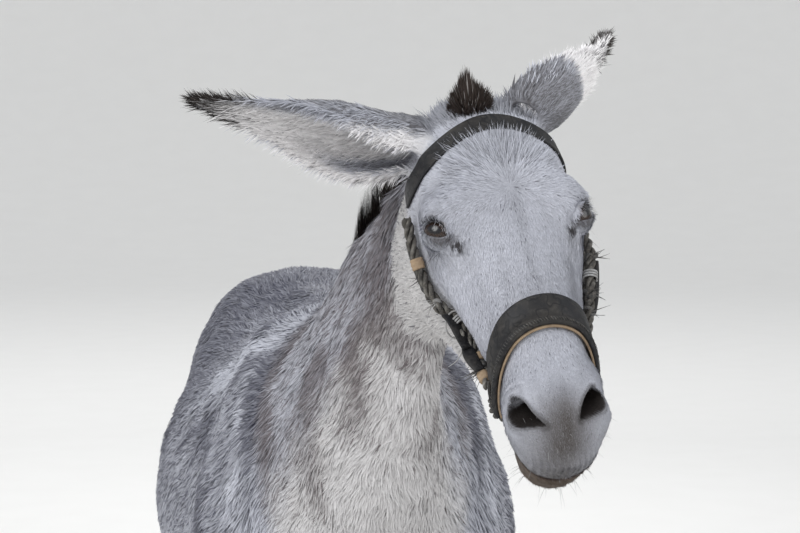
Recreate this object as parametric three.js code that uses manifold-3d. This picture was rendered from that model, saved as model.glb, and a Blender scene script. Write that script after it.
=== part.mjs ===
// A standing donkey in a home-made head halter, life size.
// Millimetres, +Z up. The animal faces -Y and its left side is +X. The origin is on the floor,
// under the middle of the model's bounding box.
//
// The body is one implicit form: bones and muscle masses that blend into each other, negative
// inside and positive outside. Each named part is that form, meshed at its own cell size and
// trimmed by flat cuts, so neighbours meet face to face a hair apart.
import * as THREE from "three";
import { mergeVertices } from "three/addons/utils/BufferGeometryUtils.js";
import Module from "manifold-3d";

const wasm = await Module();
wasm.setup();

// ---------------------------------------------------------------- driving dimensions

const GAP = 0.3; // between neighbouring parts
const ELBOW_HEIGHT = 650;
const STIFLE_HEIGHT = 720;
const FORE_OUT = 104; // hoof centre from the midline
const HIND_OUT = 106;
const HOOF = { length: 112, width: 92, toe: 74, heel: 48, topShare: 0.8 };
// How far each foot stands in front of (-) or behind (+) square.
const STEP = { foreLeft: -28, foreRight: 16, hindLeft: 22, hindRight: -34 };

// The quarters stand a little to the right of the chest: the spine curves from `from` to `to`
// and then runs straight at this slope.
const SWAY = { slope: 0.026, from: -330, to: -30 };

// The head's own frame: origin on the poll, -y down the face to the lips, +z out of the face.
const POLL = new THREE.Vector3(107, -809, 1444);
const HEAD_PITCH = 54; // degrees; 90 would hang the nose straight down
const HEAD_ROLL = -5.5;
const HEAD_YAW = 10;
const EYE = { out: { right: 79, left: 69 }, along: 171, up: -36, radius: 21, stand: 4.5, look: [0.66, -0.3, 0.69] };

// ---------------------------------------------------------------- fields

const clamp = THREE.MathUtils.clamp;
const lerp = THREE.MathUtils.lerp;
const radians = THREE.MathUtils.degToRad;

// A round-ended bone from a to b.
function bone(a, b, ra, rb = ra) {
  const d = [b[0] - a[0], b[1] - a[1], b[2] - a[2]];
  const length2 = d[0] ** 2 + d[1] ** 2 + d[2] ** 2;
  return (x, y, z) => {
    const px = x - a[0];
    const py = y - a[1];
    const pz = z - a[2];
    const t = clamp((px * d[0] + py * d[1] + pz * d[2]) / length2, 0, 1);
    return Math.hypot(px - t * d[0], py - t * d[1], pz - t * d[2]) - lerp(ra, rb, t);
  };
}

// An ellipsoid with half-axes r, turned by Euler degrees.
function mass(c, r, turn = [0, 0, 0]) {
  const e = new THREE.Matrix4()
    .makeRotationFromEuler(new THREE.Euler(...turn.map(radians)))
    .elements;
  return (x, y, z) => {
    const px = x - c[0];
    const py = y - c[1];
    const pz = z - c[2];
    const u = (px * e[0] + py * e[1] + pz * e[2]) / r[0];
    const v = (px * e[4] + py * e[5] + pz * e[6]) / r[1];
    const w = (px * e[8] + py * e[9] + pz * e[10]) / r[2];
    const near = Math.hypot(u, v, w);
    const slope = Math.hypot(u / r[0], v / r[1], w / r[2]);
    return slope < 1e-9 ? -Math.min(...r) : (near * (near - 1)) / slope;
  };
}

// A tube of egg-shaped sections through stations {at, half, up, down}. `power` squares the
// section off as it grows past 2, `topPower` does so above the path, and the ends are rounded
// over `cap` times the section's own radius.
function sweep(stations, { power = 2, topPower = power, cap = 0.4 } = {}) {
  const path = new THREE.CatmullRomCurve3(stations.map((s) => new THREE.Vector3(...s.at)));
  const count = (stations.length - 1) * 4;
  const sizes = ["half", "up", "down"].map(
    (key) => new THREE.SplineCurve(stations.map((s, i) => new THREE.Vector2(i, s[key]))),
  );
  const rings = [];
  for (let i = 0; i <= count; i++) {
    const t = i / count;
    const tangent = path.getTangent(t);
    const side = new THREE.Vector3(-tangent.y, tangent.x, 0).normalize();
    if (side.x < 0) side.negate();
    const over = new THREE.Vector3().crossVectors(side, tangent).normalize();
    if (over.z < 0) over.negate();
    const [half, up, down] = sizes.map((s) => s.getPoint(t).y);
    rings.push({ c: path.getPoint(t), side, over, half, up, down });
  }
  return (x, y, z) => {
    let best = Infinity;
    let k = 0;
    let share = 0;
    for (let i = 0; i < count; i++) {
      const a = rings[i].c;
      const b = rings[i + 1].c;
      const dx = b.x - a.x;
      const dy = b.y - a.y;
      const dz = b.z - a.z;
      const px = x - a.x;
      const py = y - a.y;
      const pz = z - a.z;
      const t = clamp((px * dx + py * dy + pz * dz) / (dx * dx + dy * dy + dz * dz), 0, 1);
      const away = (px - t * dx) ** 2 + (py - t * dy) ** 2 + (pz - t * dz) ** 2;
      if (away < best) [best, k, share] = [away, i, t];
    }
    const a = rings[k];
    const b = rings[k + 1];
    const mix = (f) => lerp(f(a), f(b), share);
    const px = x - mix((r) => r.c.x);
    const py = y - mix((r) => r.c.y);
    const pz = z - mix((r) => r.c.z);
    const s = px * mix((r) => r.side.x) + py * mix((r) => r.side.y);
    const v = px * mix((r) => r.over.x) + py * mix((r) => r.over.y) + pz * mix((r) => r.over.z);
    const half = mix((r) => r.half);
    const tall = v > 0 ? mix((r) => r.up) : mix((r) => r.down);
    const p = v > 0 ? topPower : power;
    const across = Math.max(Math.hypot(s, v), 1e-6);
    const radius = (Math.abs(s / across / half) ** p + Math.abs(v / across / tall) ** p) ** (-1 / p);
    const past = Math.sqrt(Math.max(best - across * across, 0));
    const atEnd = (k === 0 && share === 0) || (k === count - 1 && share === 1);
    return Math.hypot(across, atEnd ? past / cap : past) - radius;
  };
}

function smoothMin(a, b, k) {
  const h = Math.max(k - Math.abs(a - b), 0) / k;
  return Math.min(a, b) - (h * h * k) / 4;
}

// Joins fields, rounding the creases between them over about k.
function blend(k, ...fields) {
  return (x, y, z) => fields.reduce((d, f) => smoothMin(d, f(x, y, z), k), 1e6);
}

// Takes the hollows out of a field, rounding their rims over about k.
function carve(k, base, ...hollows) {
  return (x, y, z) => hollows.reduce((d, f) => -smoothMin(-d, f(x, y, z), k), base(x, y, z));
}

// A field and its mirror image across x = 0.
function pair(field, k = 12) {
  return (x, y, z) => smoothMin(field(x, y, z), field(-x, y, z), k);
}

// A field drawn in a placed frame, seen from the world.
function placed(field, matrix) {
  const e = matrix.clone().invert().elements;
  return (x, y, z) =>
    field(
      e[0] * x + e[4] * y + e[8] * z + e[12],
      e[1] * x + e[5] * y + e[9] * z + e[13],
      e[2] * x + e[6] * y + e[10] * z + e[14],
    );
}

// ---------------------------------------------------------------- from field to solid

// Grid lines from `start`, in stretches of [end, cell].
function linesOf(start, ...stretches) {
  const lines = [start];
  for (const [end, cell] of stretches) {
    const from = lines.at(-1);
    const count = Math.round((end - from) / cell);
    for (let i = 1; i <= count; i++) lines.push(lerp(from, end, i / count));
  }
  return lines;
}

// Surface nets on a grid of x, y and z lines: one vertex in each cell that the surface
// crosses, pulled onto the surface, and one quad across each grid edge that it crosses. The
// grid's rim counts as outside.
function meshOf(field, grid, frame = new THREE.Matrix4(), level = 0) {
  const [xs, ys, zs] = grid;
  const size = grid.map((lines) => lines.length);
  const [nx, ny, nz] = size;
  const at = (i, j, k) => i + nx * (j + ny * k);
  const local = placed(field, frame.clone().invert());
  const value = new Float64Array(nx * ny * nz);
  for (let k = 0; k < nz; k++)
    for (let j = 0; j < ny; j++)
      for (let i = 0; i < nx; i++) {
        const rim = i * j * k === 0 || i === nx - 1 || j === ny - 1 || k === nz - 1;
        const d = local(xs[i], ys[j], zs[k]) - level;
        value[at(i, j, k)] = rim ? Math.max(d, 1) : d;
      }

  const strides = [1, nx, nx * ny];
  openPinches(value, size, strides);

  const corners = [0, 1, 2, 3, 4, 5, 6, 7].map((c) => [c & 1, (c >> 1) & 1, c >> 2]);
  const edges = [];
  for (let a = 0; a < 8; a++)
    for (let bit = 1; bit < 8; bit *= 2) if (!(a & bit)) edges.push([a, a | bit]);

  const points = [];
  const vertexOf = new Map();
  for (let k = 0; k < nz - 1; k++)
    for (let j = 0; j < ny - 1; j++)
      for (let i = 0; i < nx - 1; i++) {
        const v = corners.map(([a, b, c]) => value[at(i + a, j + b, k + c)]);
        const sum = [0, 0, 0];
        let crossings = 0;
        for (const [a, b] of edges) {
          if (v[a] < 0 === v[b] < 0) continue;
          const t = v[a] / (v[a] - v[b]);
          for (let axis = 0; axis < 3; axis++)
            sum[axis] += lerp(corners[a][axis], corners[b][axis], t);
          crossings++;
        }
        if (!crossings) continue;
        const cell = [xs[i + 1] - xs[i], ys[j + 1] - ys[j], zs[k + 1] - zs[k]];
        const p = [xs[i], ys[j], zs[k]].map(
          (low, axis) => low + (sum[axis] / crossings) * cell[axis],
        );
        vertexOf.set(at(i, j, k), points.length);
        const inner = i * j * k > 0 && i < nx - 2 && j < ny - 2 && k < nz - 2;
        points.push(inner ? onSurface(local, p, level, Math.min(...cell) * 0.35) : p);
      }

  const triangles = [];
  for (let k = 0; k < nz; k++)
    for (let j = 0; j < ny; j++)
      for (let i = 0; i < nx; i++)
        for (let axis = 0; axis < 3; axis++) {
          const index = [i, j, k];
          if (index[axis] >= size[axis] - 1) continue;
          const here = at(i, j, k);
          const inside = value[here] < 0;
          if (inside === value[here + strides[axis]] < 0) continue;
          const [b, c] = [strides[(axis + 1) % 3], strides[(axis + 2) % 3]];
          const quad = [here, here - b, here - b - c, here - c].map((n) => vertexOf.get(n));
          if (!inside) quad.reverse();
          triangles.push(...splitQuad(quad, points));
        }
  return solidFrom(points.map((p) => new THREE.Vector3(...p).applyMatrix4(frame)), triangles);
}

// Where a grid square is inside at two opposite corners only, the surface would touch itself.
// The shallower of the two is put outside, until no such square is left.
function openPinches(value, size, strides) {
  for (let found = true; found; ) {
    found = false;
    for (let here = 0; here < value.length; here++)
      for (let axis = 0; axis < 3; axis++) {
        const [u, v] = [(axis + 1) % 3, (axis + 2) % 3];
        const place = (n) => Math.floor(here / strides[n]) % size[n];
        if (place(u) === size[u] - 1 || place(v) === size[v] - 1) continue;
        const square = [0, strides[u], strides[u] + strides[v], strides[v]].map((n) => here + n);
        const [a, b, c, d] = square.map((n) => value[n] < 0);
        if (a !== c || b !== d || a === b) continue;
        const [m, n] = a ? [square[0], square[2]] : [square[1], square[3]];
        value[value[m] > value[n] ? m : n] = 1;
        found = true;
      }
  }
}

// Moves a point onto the surface along the field's slope, by at most `reach`.
function onSurface(field, p, level, reach) {
  const h = 0.5;
  let q = [...p];
  for (let step = 0; step < 3; step++) {
    const d = field(...q) - level;
    const slope = [0, 1, 2].map((axis) => {
      const ahead = [...q];
      ahead[axis] += h;
      return (field(...ahead) - level - d) / h;
    });
    const steep = slope[0] ** 2 + slope[1] ** 2 + slope[2] ** 2;
    if (steep < 1e-6) return p;
    q = q.map((value, axis) => value - (d * slope[axis]) / steep);
  }
  const moved = Math.hypot(q[0] - p[0], q[1] - p[1], q[2] - p[2]);
  const share = Math.min(1, reach / Math.max(moved, 1e-9));
  return p.map((value, axis) => lerp(value, q[axis], share));
}

// Two triangles across the quad's shorter diagonal.
function splitQuad([a, b, c, d], points) {
  const apart = (m, n) =>
    Math.hypot(points[m][0] - points[n][0], points[m][1] - points[n][1], points[m][2] - points[n][2]);
  return apart(a, c) < apart(b, d) ? [a, b, c, a, c, d] : [a, b, d, b, c, d];
}

function solidFrom(points, triangles) {
  const solid = new wasm.Manifold(
    new wasm.Mesh({
      numProp: 3,
      vertProperties: new Float32Array(points.flatMap((p) => [p.x, p.y, p.z])),
      triVerts: new Uint32Array(triangles),
    }),
  );
  // The largest body only: a thin spot in a coarse grid can leave a crumb beside it.
  return solid.decompose().reduce((a, b) => (b.volume() > a.volume() ? b : a));
}

// A three.js geometry, placed by a matrix, as a solid.
function solidOf(geometry, matrix = new THREE.Matrix4()) {
  const bare = geometry.clone().applyMatrix4(matrix);
  bare.deleteAttribute("normal");
  bare.deleteAttribute("uv");
  const merged = mergeVertices(bare, 1e-3);
  return new wasm.Manifold(
    new wasm.Mesh({
      numProp: 3,
      vertProperties: merged.attributes.position.array,
      triVerts: new Uint32Array(merged.index.array),
    }),
  );
}

function geometryOf(solid) {
  const mesh = solid.getMesh();
  const positions = new Float32Array(mesh.numVert * 3);
  for (let i = 0; i < mesh.numVert; i++)
    positions.set(mesh.vertProperties.subarray(i * mesh.numProp, i * mesh.numProp + 3), i * 3);
  const geometry = new THREE.BufferGeometry()
    .setAttribute("position", new THREE.BufferAttribute(positions, 3))
    .setIndex(new THREE.BufferAttribute(mesh.triVerts, 1));
  geometry.computeVertexNormals();
  return geometry;
}

// A large block whose flat face passes through `point` and which lies on the -normal side.
function blockBehind(point, normal, shift = 0, reach = 2600) {
  const turn = new THREE.Quaternion().setFromUnitVectors(
    new THREE.Vector3(0, 0, 1),
    normal.clone().normalize(),
  );
  const middle = normal.clone().normalize().multiplyScalar(shift - reach / 2).add(point);
  const matrix = new THREE.Matrix4().compose(middle, turn, new THREE.Vector3(1, 1, 1));
  return solidOf(new THREE.BoxGeometry(reach, reach, reach), matrix);
}

// A closed skin over rings of points, all with the same even count. A flat strip closes each
// end, joining point i to point count - 1 - i, so a C-shaped ring closes as well as a round one.
function loftOf(rings) {
  const count = rings[0].length;
  const triangles = [];
  for (let r = 0; r + 1 < rings.length; r++)
    for (let i = 0; i < count; i++) {
      const [a, b] = [r * count + i, r * count + ((i + 1) % count)];
      triangles.push(a, b, b + count, a, b + count, a + count);
    }
  const last = (rings.length - 1) * count;
  for (let i = 0; i < count / 2 - 1; i++) {
    const [a, b, c, d] = [i, i + 1, count - 2 - i, count - 1 - i];
    triangles.push(a, c, b, a, d, c);
    triangles.push(last + a, last + b, last + c, last + a, last + c, last + d);
  }
  return solidFrom(rings.flat(), triangles);
}

// ---------------------------------------------------------------- the body's form

const headMatrix = new THREE.Matrix4()
  .makeTranslation(POLL)
  .multiply(
    new THREE.Matrix4().makeRotationFromEuler(
      new THREE.Euler(radians(HEAD_PITCH), radians(HEAD_ROLL), radians(HEAD_YAW), "ZYX"),
    ),
  );
const inWorld = (x, along, up) => new THREE.Vector3(x, -along, up).applyMatrix4(headMatrix);

// An upright section at y that reaches from `top` down to `bottom`.
const section = (y, top, bottom, half) => ({
  at: [0, y, (top + bottom) / 2],
  half,
  up: (top - bottom) / 2,
  down: (top - bottom) / 2,
});

const mirrored = (field) => (x, y, z) => field(-x, y, z);

// The head in its own frame.
function headForm() {
  const skull = sweep(
    [
      section(-4, -22, -118, 56),
      section(-45, 0, -140, 80),
      section(-98, 12, -150, 92),
      section(-150, 11, -150, 88),
      section(-205, 3, -142, 75),
      section(-255, -3, -130, 62),
      section(-305, -6, -120, 55),
      section(-347, -11, -114, 52),
      section(-392, -18, -112, 53),
      section(-427, -32, -108, 47),
      section(-448, -54, -98, 32),
    ],
    { power: 2.3 },
  );
  const orbit = (out) => mass([out, -162, -38], [28, 40, 32], [0, 0, -14]);
  const brow = bone([50, -134, -8], [80, -158, -22], 20, 17);
  const crest = bone([74, -196, -70], [52, -300, -78], 16, 10);
  const cheek = mass([52, -138, -138], [40, 96, 88]);
  const jawBack = bone([42, -88, -150], [42, -140, -194], 40, 36);
  const jawFront = bone([38, -172, -186], [17, -352, -122], 36, 24);
  const muzzle = mass([0, -398, -66], [52, 54, 50]);
  const nostrilWing = mass([34, -400, -48], [22, 36, 27], [0, 0, 10]);
  const upperLip = mass([0, -438, -86], [42, 29, 34]);
  const lowerLip = mass([0, -430, -130], [37, 37, 23]);
  const chin = mass([0, -392, -124], [33, 40, 22]);
  const flesh = blend(
    26,
    skull,
    orbit(EYE.out.left - 6),
    mirrored(orbit(EYE.out.right - 5)),
    pair(brow),
    pair(crest),
    pair(cheek),
    pair(jawBack),
    pair(jawFront),
    muzzle,
    pair(nostrilWing),
    upperLip,
    chin,
    lowerLip,
  );
  const nostril = bone([50, -396, -40], [36, -434, -66], 9, 7);
  const templeHollow = mass([56, -112, 18], [20, 30, 14]);
  return carve(14, flesh, pair(nostril), pair(templeHollow));
}

// Chest, barrel and rump as one tube of sections from the breast to the buttocks.
function trunkForm() {
  const barrel = sweep(
    [
      section(-470, 1040, 672, 132),
      section(-420, 1085, 640, 158),
      section(-300, 1132, 606, 186),
      section(-150, 1118, 590, 216),
      section(20, 1092, 570, 252),
      section(170, 1090, 570, 256),
      section(300, 1114, 612, 226),
      section(410, 1134, 690, 184),
      section(510, 1120, 770, 150),
      section(570, 1090, 820, 130),
    ],
    { power: 2.15, cap: 0.35 },
  );
  const withers = bone([0, -370, 1098], [0, -190, 1110], 36, 30);
  const spine = bone([0, -180, 1085], [0, 380, 1118], 26, 30);
  const breast = pair(mass([62, -500, 770], [72, 74, 110]), 30);
  const blade = pair(mass([118, -330, 930], [62, 92, 215], [-22, -6, 0]));
  const shoulderPoint = pair(mass([118, -470, 800], [62, 70, 84]));
  const triceps = pair(bone([138, -300, 850], [128, -318, 700], 84, 66));
  const hip = pair(bone([130, 232, 1022], [92, 330, 1074], 36, 36));
  const croup = pair(mass([62, 400, 1006], [88, 185, 122]));
  const haunch = pair(mass([92, 440, 884], [96, 178, 200]));
  const thigh = pair(bone([112, 400, 850], [126, 345, 720], 104, 80));
  const buttock = pair(bone([72, 585, 955], [98, 545, 730], 72, 58));
  const flesh = blend(
    60, barrel, withers, spine, breast, blade, shoulderPoint, triceps,
    hip, croup, haunch, thigh, buttock,
  );
  const flank = pair(mass([248, 262, 930], [46, 60, 110], [0, 0, -20]));
  return carve(40, flesh, flank);
}

// How far the midline has moved sideways at y.
function swayAt(y) {
  const bend = SWAY.to - SWAY.from;
  const run = y - SWAY.from;
  if (run <= 0) return 0;
  return -SWAY.slope * (run < bend ? run ** 2 / (2 * bend) : run - bend / 2);
}
const swayed = (field) => (x, y, z) => field(x - swayAt(y), y, z);

// A point `out` from the midline on one side. A foot's step fades out up to `hinge` height.
const limbPoint = (side, step, hinge) => (out, y, z) => [
  side * out,
  y + step * clamp(1 - z / hinge, 0, 1),
  z,
];

function forelegForm(side, step) {
  const at = limbPoint(side, step, ELBOW_HEIGHT);
  return blend(
    22,
    bone(at(124, -322, 700), at(110, -352, 420), 76, 38),
    mass(at(128, -352, 610), [44, 52, 105]),
    bone(at(116, -262, 690), at(112, -300, 610), 32, 26),
    mass(at(108, -356, 368), [42, 41, 56]),
    mass(at(106, -320, 382), [16, 20, 26]),
    bone(at(106, -355, 325), at(104, -358, 195), 26, 23),
    bone(at(105, -330, 345), at(104, -330, 185), 15, 17),
    mass(at(104, -352, 170), [34, 36, 36]),
    mass(at(104, -326, 158), [24, 20, 26]),
    bone(at(104, -362, 145), at(104, -392, 76), 27, 35),
  );
}

function hindlegForm(side, step) {
  const at = limbPoint(side, step, STIFLE_HEIGHT);
  return blend(
    30,
    mass(at(130, 318, 712), [58, 66, 84]),
    bone(at(122, 350, 700), at(111, 500, 490), 90, 42),
    bone(at(112, 474, 640), at(110, 566, 520), 40, 25),
    mass(at(108, 528, 452), [38, 47, 62]),
    bone(at(109, 548, 440), at(110, 580, 520), 27, 23),
    bone(at(107, 536, 420), at(106, 536, 195), 28, 24),
    bone(at(107, 566, 440), at(106, 562, 185), 16, 17),
    mass(at(106, 540, 170), [35, 37, 37]),
    mass(at(106, 568, 158), [24, 20, 26]),
    bone(at(106, 528, 145), at(106, 500, 78), 28, 36),
  );
}

// A neck section between a point on the crest and one on the underline.
function neckRing(crest, under, half) {
  const [a, b] = [new THREE.Vector3(...crest), new THREE.Vector3(...under)];
  const deep = a.distanceTo(b) / 2;
  return { at: a.add(b).multiplyScalar(0.5).toArray(), half, up: deep, down: deep };
}

// The neck, from inside the shoulders to inside the back of the skull.
const neckForm = () =>
  sweep(
    [
      neckRing([0, -262, 1136], [0, -572, 770], 150),
      neckRing([-2, -392, 1188], [6, -636, 890], 102),
      neckRing([15, -500, 1256], [20, -672, 1020], 57),
      neckRing([43, -620, 1330], [55, -700, 1135], 43),
      neckRing([84, -735, 1406], [98, -710, 1236], 40),
      neckRing([102, -800, 1430], [106, -770, 1310], 42),
    ],
    { topPower: 1.6 },
  );

const QUARTERS_X = swayAt(500);

const LEGS = {
  foreLeft: { side: 1, step: STEP.foreLeft, form: forelegForm, fore: true },
  foreRight: { side: -1, step: STEP.foreRight, form: forelegForm, fore: true },
  hindLeft: { side: 1, step: STEP.hindLeft, form: hindlegForm, fore: false },
  hindRight: { side: -1, step: STEP.hindRight, form: hindlegForm, fore: false },
};
for (const leg of Object.values(LEGS)) leg.field = leg.form(leg.side, leg.step);

const headField = headForm();
const wholeBody = blend(
  46,
  swayed(trunkForm()),
  neckForm(),
  placed(headField, headMatrix),
  ...Object.values(LEGS).map((leg) => swayed(leg.field)),
);

// ---------------------------------------------------------------- flat cuts between parts

const NECK_CUT = {
  point: new THREE.Vector3(0, -352, 1150),
  normal: new THREE.Vector3(0, -0.83, 0.56),
};
// A straight block with this side outline, from `start` over `depth` along the extrusion.
function slab(outline, basis, start, depth) {
  const shape = new THREE.Shape(outline.map(([a, b]) => new THREE.Vector2(a, b)));
  const block = new THREE.ExtrudeGeometry(shape, { depth, bevelEnabled: false });
  const matrix = new THREE.Matrix4().makeBasis(...basis.map((v) => new THREE.Vector3(...v)));
  return solidOf(block, matrix.setPosition(new THREE.Vector3(...start)));
}

// The block that holds the head: its back runs down behind the jaw, and its floor under it.
function headBlock(grow) {
  const outline = [[40, 100], [34, 0], [-72, -212], [-150, -252], [-560, -262], [-560, 100]];
  const block = slab(
    outline.map(([y, z]) => [y + grow, z - grow]),
    [[0, 1, 0], [0, 0, 1], [1, 0, 0]],
    [-300, 0, 0],
    600,
  );
  return block.transform(headMatrix.elements);
}

// The block that holds a leg: a side outline seen from the animal's flank, crossed with a
// front outline that keeps clear of the midline. Both climb outwards over the muscle.
function legBlock(fore, side, grow) {
  const flank = fore
    ? [[-600, -40], [-600, 700], [-226, 700], [-226, -40]]
    : [[250, -40], [250, 470], [212, 640], [212, 860], [760, 860], [760, -40]];
  const front = fore
    ? [[34, -40], [34, 600], [112, 640], [330, 720], [330, -40]]
    : [[16, -40], [16, 600], [110, 690], [330, 820], [330, -40]];
  const block = slab(
    flank.map(([y, z]) => [fore ? y + grow : y - grow, z + grow]),
    [[0, 1, 0], [0, 0, 1], [1, 0, 0]],
    [-400, 0, 0],
    800,
  ).intersect(
    slab(
      front.map(([x, z]) => [x - grow, z + grow]),
      [[1, 0, 0], [0, 0, 1], [0, -1, 0]],
      [0, fore ? 0 : 800, 0],
      800,
    ),
  );
  return (side > 0 ? block : block.mirror([1, 0, 0])).translate([fore ? 0 : QUARTERS_X, 0, 0]);
}

// ---------------------------------------------------------------- hooves

function hoofAt(leg) {
  const y = (leg.fore ? -402 : 488) + leg.step;
  return { x: leg.side * (leg.fore ? FORE_OUT : HIND_OUT) + swayAt(y), y };
}
const slope = (HOOF.toe - HOOF.heel) / HOOF.length;
const coronet = (leg) => ({
  point: new THREE.Vector3(0, hoofAt(leg).y, (HOOF.toe + HOOF.heel) / 2),
  normal: new THREE.Vector3(0, slope, 1).normalize(),
});

// An upright, narrow hoof: a horseshoe-shaped sole that leans back to a smaller, sloping top.
function hoofSolid(leg) {
  const count = 18;
  const { x, y } = hoofAt(leg);
  const ring = (height, share, back) =>
    Array.from({ length: count }, (_, i) => {
      const angle = ((i + 0.5) / count) * 2 * Math.PI;
      const front = -Math.cos(angle);
      const reach = front < 0 ? HOOF.length * 0.56 : HOOF.length * 0.44 * (1 - 0.12 * front ** 8);
      const px = Math.sin(angle) * (HOOF.width / 2) * (front > 0.5 ? 0.97 : 1) * share;
      const py = front * reach * share + back;
      const level = height * ((HOOF.toe + HOOF.heel) / 2 - slope * py);
      return new THREE.Vector3(x + px, y + py, height === 0 ? 0 : level);
    });
  return loftOf([
    ring(0, 1, 0),
    ring(0.5, 0.92, 5),
    ring(1 - (2 * GAP) / HOOF.toe, HOOF.topShare, 12),
  ]);
}

// ---------------------------------------------------------------- ears, eyes

// A leaf-shaped shell along a bent axis from base to tip. `open` points out of its mouth.
function earSolid({ base, bend, tip, open, widths }) {
  const path = new THREE.QuadraticBezierCurve3(base, bend, tip);
  const profile = new THREE.SplineCurve(widths.map(([t, r]) => new THREE.Vector2(t, r)));
  const steps = 10;
  const arcPoints = 6;
  const rings = [];
  for (let i = 0; i <= steps; i++) {
    const t = i / steps;
    const centre = path.getPoint(t);
    const along = path.getTangent(t);
    const side = new THREE.Vector3().crossVectors(open, along).normalize();
    const back = new THREE.Vector3().crossVectors(side, along).normalize();
    if (back.dot(open) > 0) back.negate();
    const radius = profile.getPoint(t).y;
    const reach = radians(lerp(172, 62, clamp(t * 1.5, 0, 1) ** 0.8));
    const wall = Math.min(lerp(10, 7, t), radius * 0.75);
    const arc = (r) =>
      Array.from({ length: arcPoints }, (_, k) => {
        const angle = lerp(-reach, reach, k / (arcPoints - 1));
        const flatter = lerp(1, 0.72, clamp(t * 1.4, 0, 1));
        return centre
          .clone()
          .addScaledVector(back, Math.cos(angle) * r * flatter)
          .addScaledVector(side, Math.sin(angle) * r);
      });
    rings.push([...arc(radius), ...arc(radius - wall).reverse()]);
  }
  const made = loftOf(rings);
  return made.volume() < 0 ? loftOf(rings.map((ring) => ring.reverse())) : made;
}

// Half-widths at shares of the length. The left ear is turned so that it shows its broad back.
const EAR_WIDTHS = [[0, 34], [0.14, 43], [0.32, 53], [0.52, 52], [0.7, 42], [0.86, 27], [1, 7]];
const BROAD_EAR = [[0, 34], [0.14, 42], [0.32, 50], [0.52, 54], [0.7, 50], [0.86, 38], [1, 12]];
const earAt = (base, bend, tip, open, widths) => ({
  base,
  bend: base.clone().add(new THREE.Vector3(...bend)),
  tip: base.clone().add(new THREE.Vector3(...tip)),
  open: new THREE.Vector3(...open).normalize(),
  widths,
});
const EARS = {
  ear_right: earAt(
    inWorld(-64, 38, -46), [-130, 2, -12], [-276, 22, 48], [-0.08, -0.7, -0.71], EAR_WIDTHS,
  ),
  ear_left: earAt(inWorld(52, 30, -32), [38, 50, 42], [124, 200, 102], [0.05, 0.75, 0.65], BROAD_EAR),
};

// Where a ray from outside a field first meets it.
function landing(field, from, direction) {
  const p = from.clone();
  const step = direction.clone().normalize();
  for (let i = 0; i < 160; i++) {
    const d = field(p.x, p.y, p.z);
    if (d < 0.05) break;
    p.addScaledVector(step, Math.max(d * 0.7, 0.05));
  }
  return p;
}

// The eyeball stands `stand` out of the socket, along the way it looks.
function eyeCentre(side) {
  const look = new THREE.Vector3(EYE.look[0] * side, EYE.look[1], EYE.look[2]).normalize();
  const out = side > 0 ? EYE.out.left : -EYE.out.right;
  const from = new THREE.Vector3(out, -EYE.along, EYE.up).addScaledVector(look, 120);
  const p = landing(headField, from, look.clone().negate());
  return p.addScaledVector(look, EYE.stand - EYE.radius).applyMatrix4(headMatrix);
}

// ---------------------------------------------------------------- hair that stands off the body

const MANE = { foot: 17, edge: 5, root: 14, steps: 11 };
// How tall it stands along the crest, from the withers to the poll.
const MANE_HEIGHT = new THREE.SplineCurve(
  [16, 56, 80, 62, 26, 18].map((height, i) => new THREE.Vector2(i, height)),
);
const CREST = new THREE.CatmullRomCurve3([
  new THREE.Vector3(0, -300, 1150),
  new THREE.Vector3(-4, -400, 1196),
  new THREE.Vector3(5, -505, 1262),
  new THREE.Vector3(32, -620, 1334),
  new THREE.Vector3(78, -735, 1412),
  new THREE.Vector3(100, -790, 1442),
]);

// An upright ridge of hair along the crest of the neck, lower at both ends.
function maneSolid() {
  const rings = [];
  for (let i = 0; i <= MANE.steps; i++) {
    const t = i / MANE.steps;
    const tangent = CREST.getTangent(t);
    const side = new THREE.Vector3(-tangent.y, tangent.x, 0).normalize();
    const up = new THREE.Vector3().crossVectors(side, tangent).normalize();
    if (up.z < 0) up.negate();
    const foot = landing(wholeBody, CREST.getPoint(t).addScaledVector(up, 120), up.clone().negate());
    const height = MANE_HEIGHT.getPoint(t).y;
    const at = (out, rise) => foot.clone().addScaledVector(side, out).addScaledVector(up, rise);
    rings.push([
      at(-MANE.foot, -MANE.root),
      at(MANE.foot, -MANE.root),
      at(MANE.edge, height),
      at(-MANE.edge, height),
    ]);
  }
  return outward(rings)
    .subtract(neckShell)
    .subtract(headBlock(GAP))
    .subtract(blockBehind(NECK_CUT.point, NECK_CUT.normal, GAP));
}

// A loft turned so that its faces point out.
function outward(rings) {
  const made = loftOf(rings);
  return made.volume() < 0 ? loftOf(rings.map((ring) => [...ring].reverse())) : made;
}

// A pointed tuft on the poll, between the ears: broad at its foot, with one tall lock that
// leans back and to the right. Each section is an oval in the head's frame.
const FORELOCK = {
  sides: 8,
  sections: [
    { up: -26, x: -10, along: 18, half: 36, deep: 26 },
    { up: 4, x: -12, along: 8, half: 31, deep: 24 },
    { up: 20, x: -19, along: 2, half: 15, deep: 14 },
    { up: 50, x: -26, along: -4, half: 5, deep: 5 },
  ],
};

function forelockSolid() {
  const rings = FORELOCK.sections.map(({ up, x, along, half, deep }) =>
    Array.from({ length: FORELOCK.sides }, (_, i) => {
      const angle = ((i + 0.5) / FORELOCK.sides) * 2 * Math.PI;
      return inWorld(x + half * Math.cos(angle), along + deep * Math.sin(angle), up);
    }),
  );
  return outward(rings).subtract(headShell).intersect(headBlock(0));
}

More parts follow.
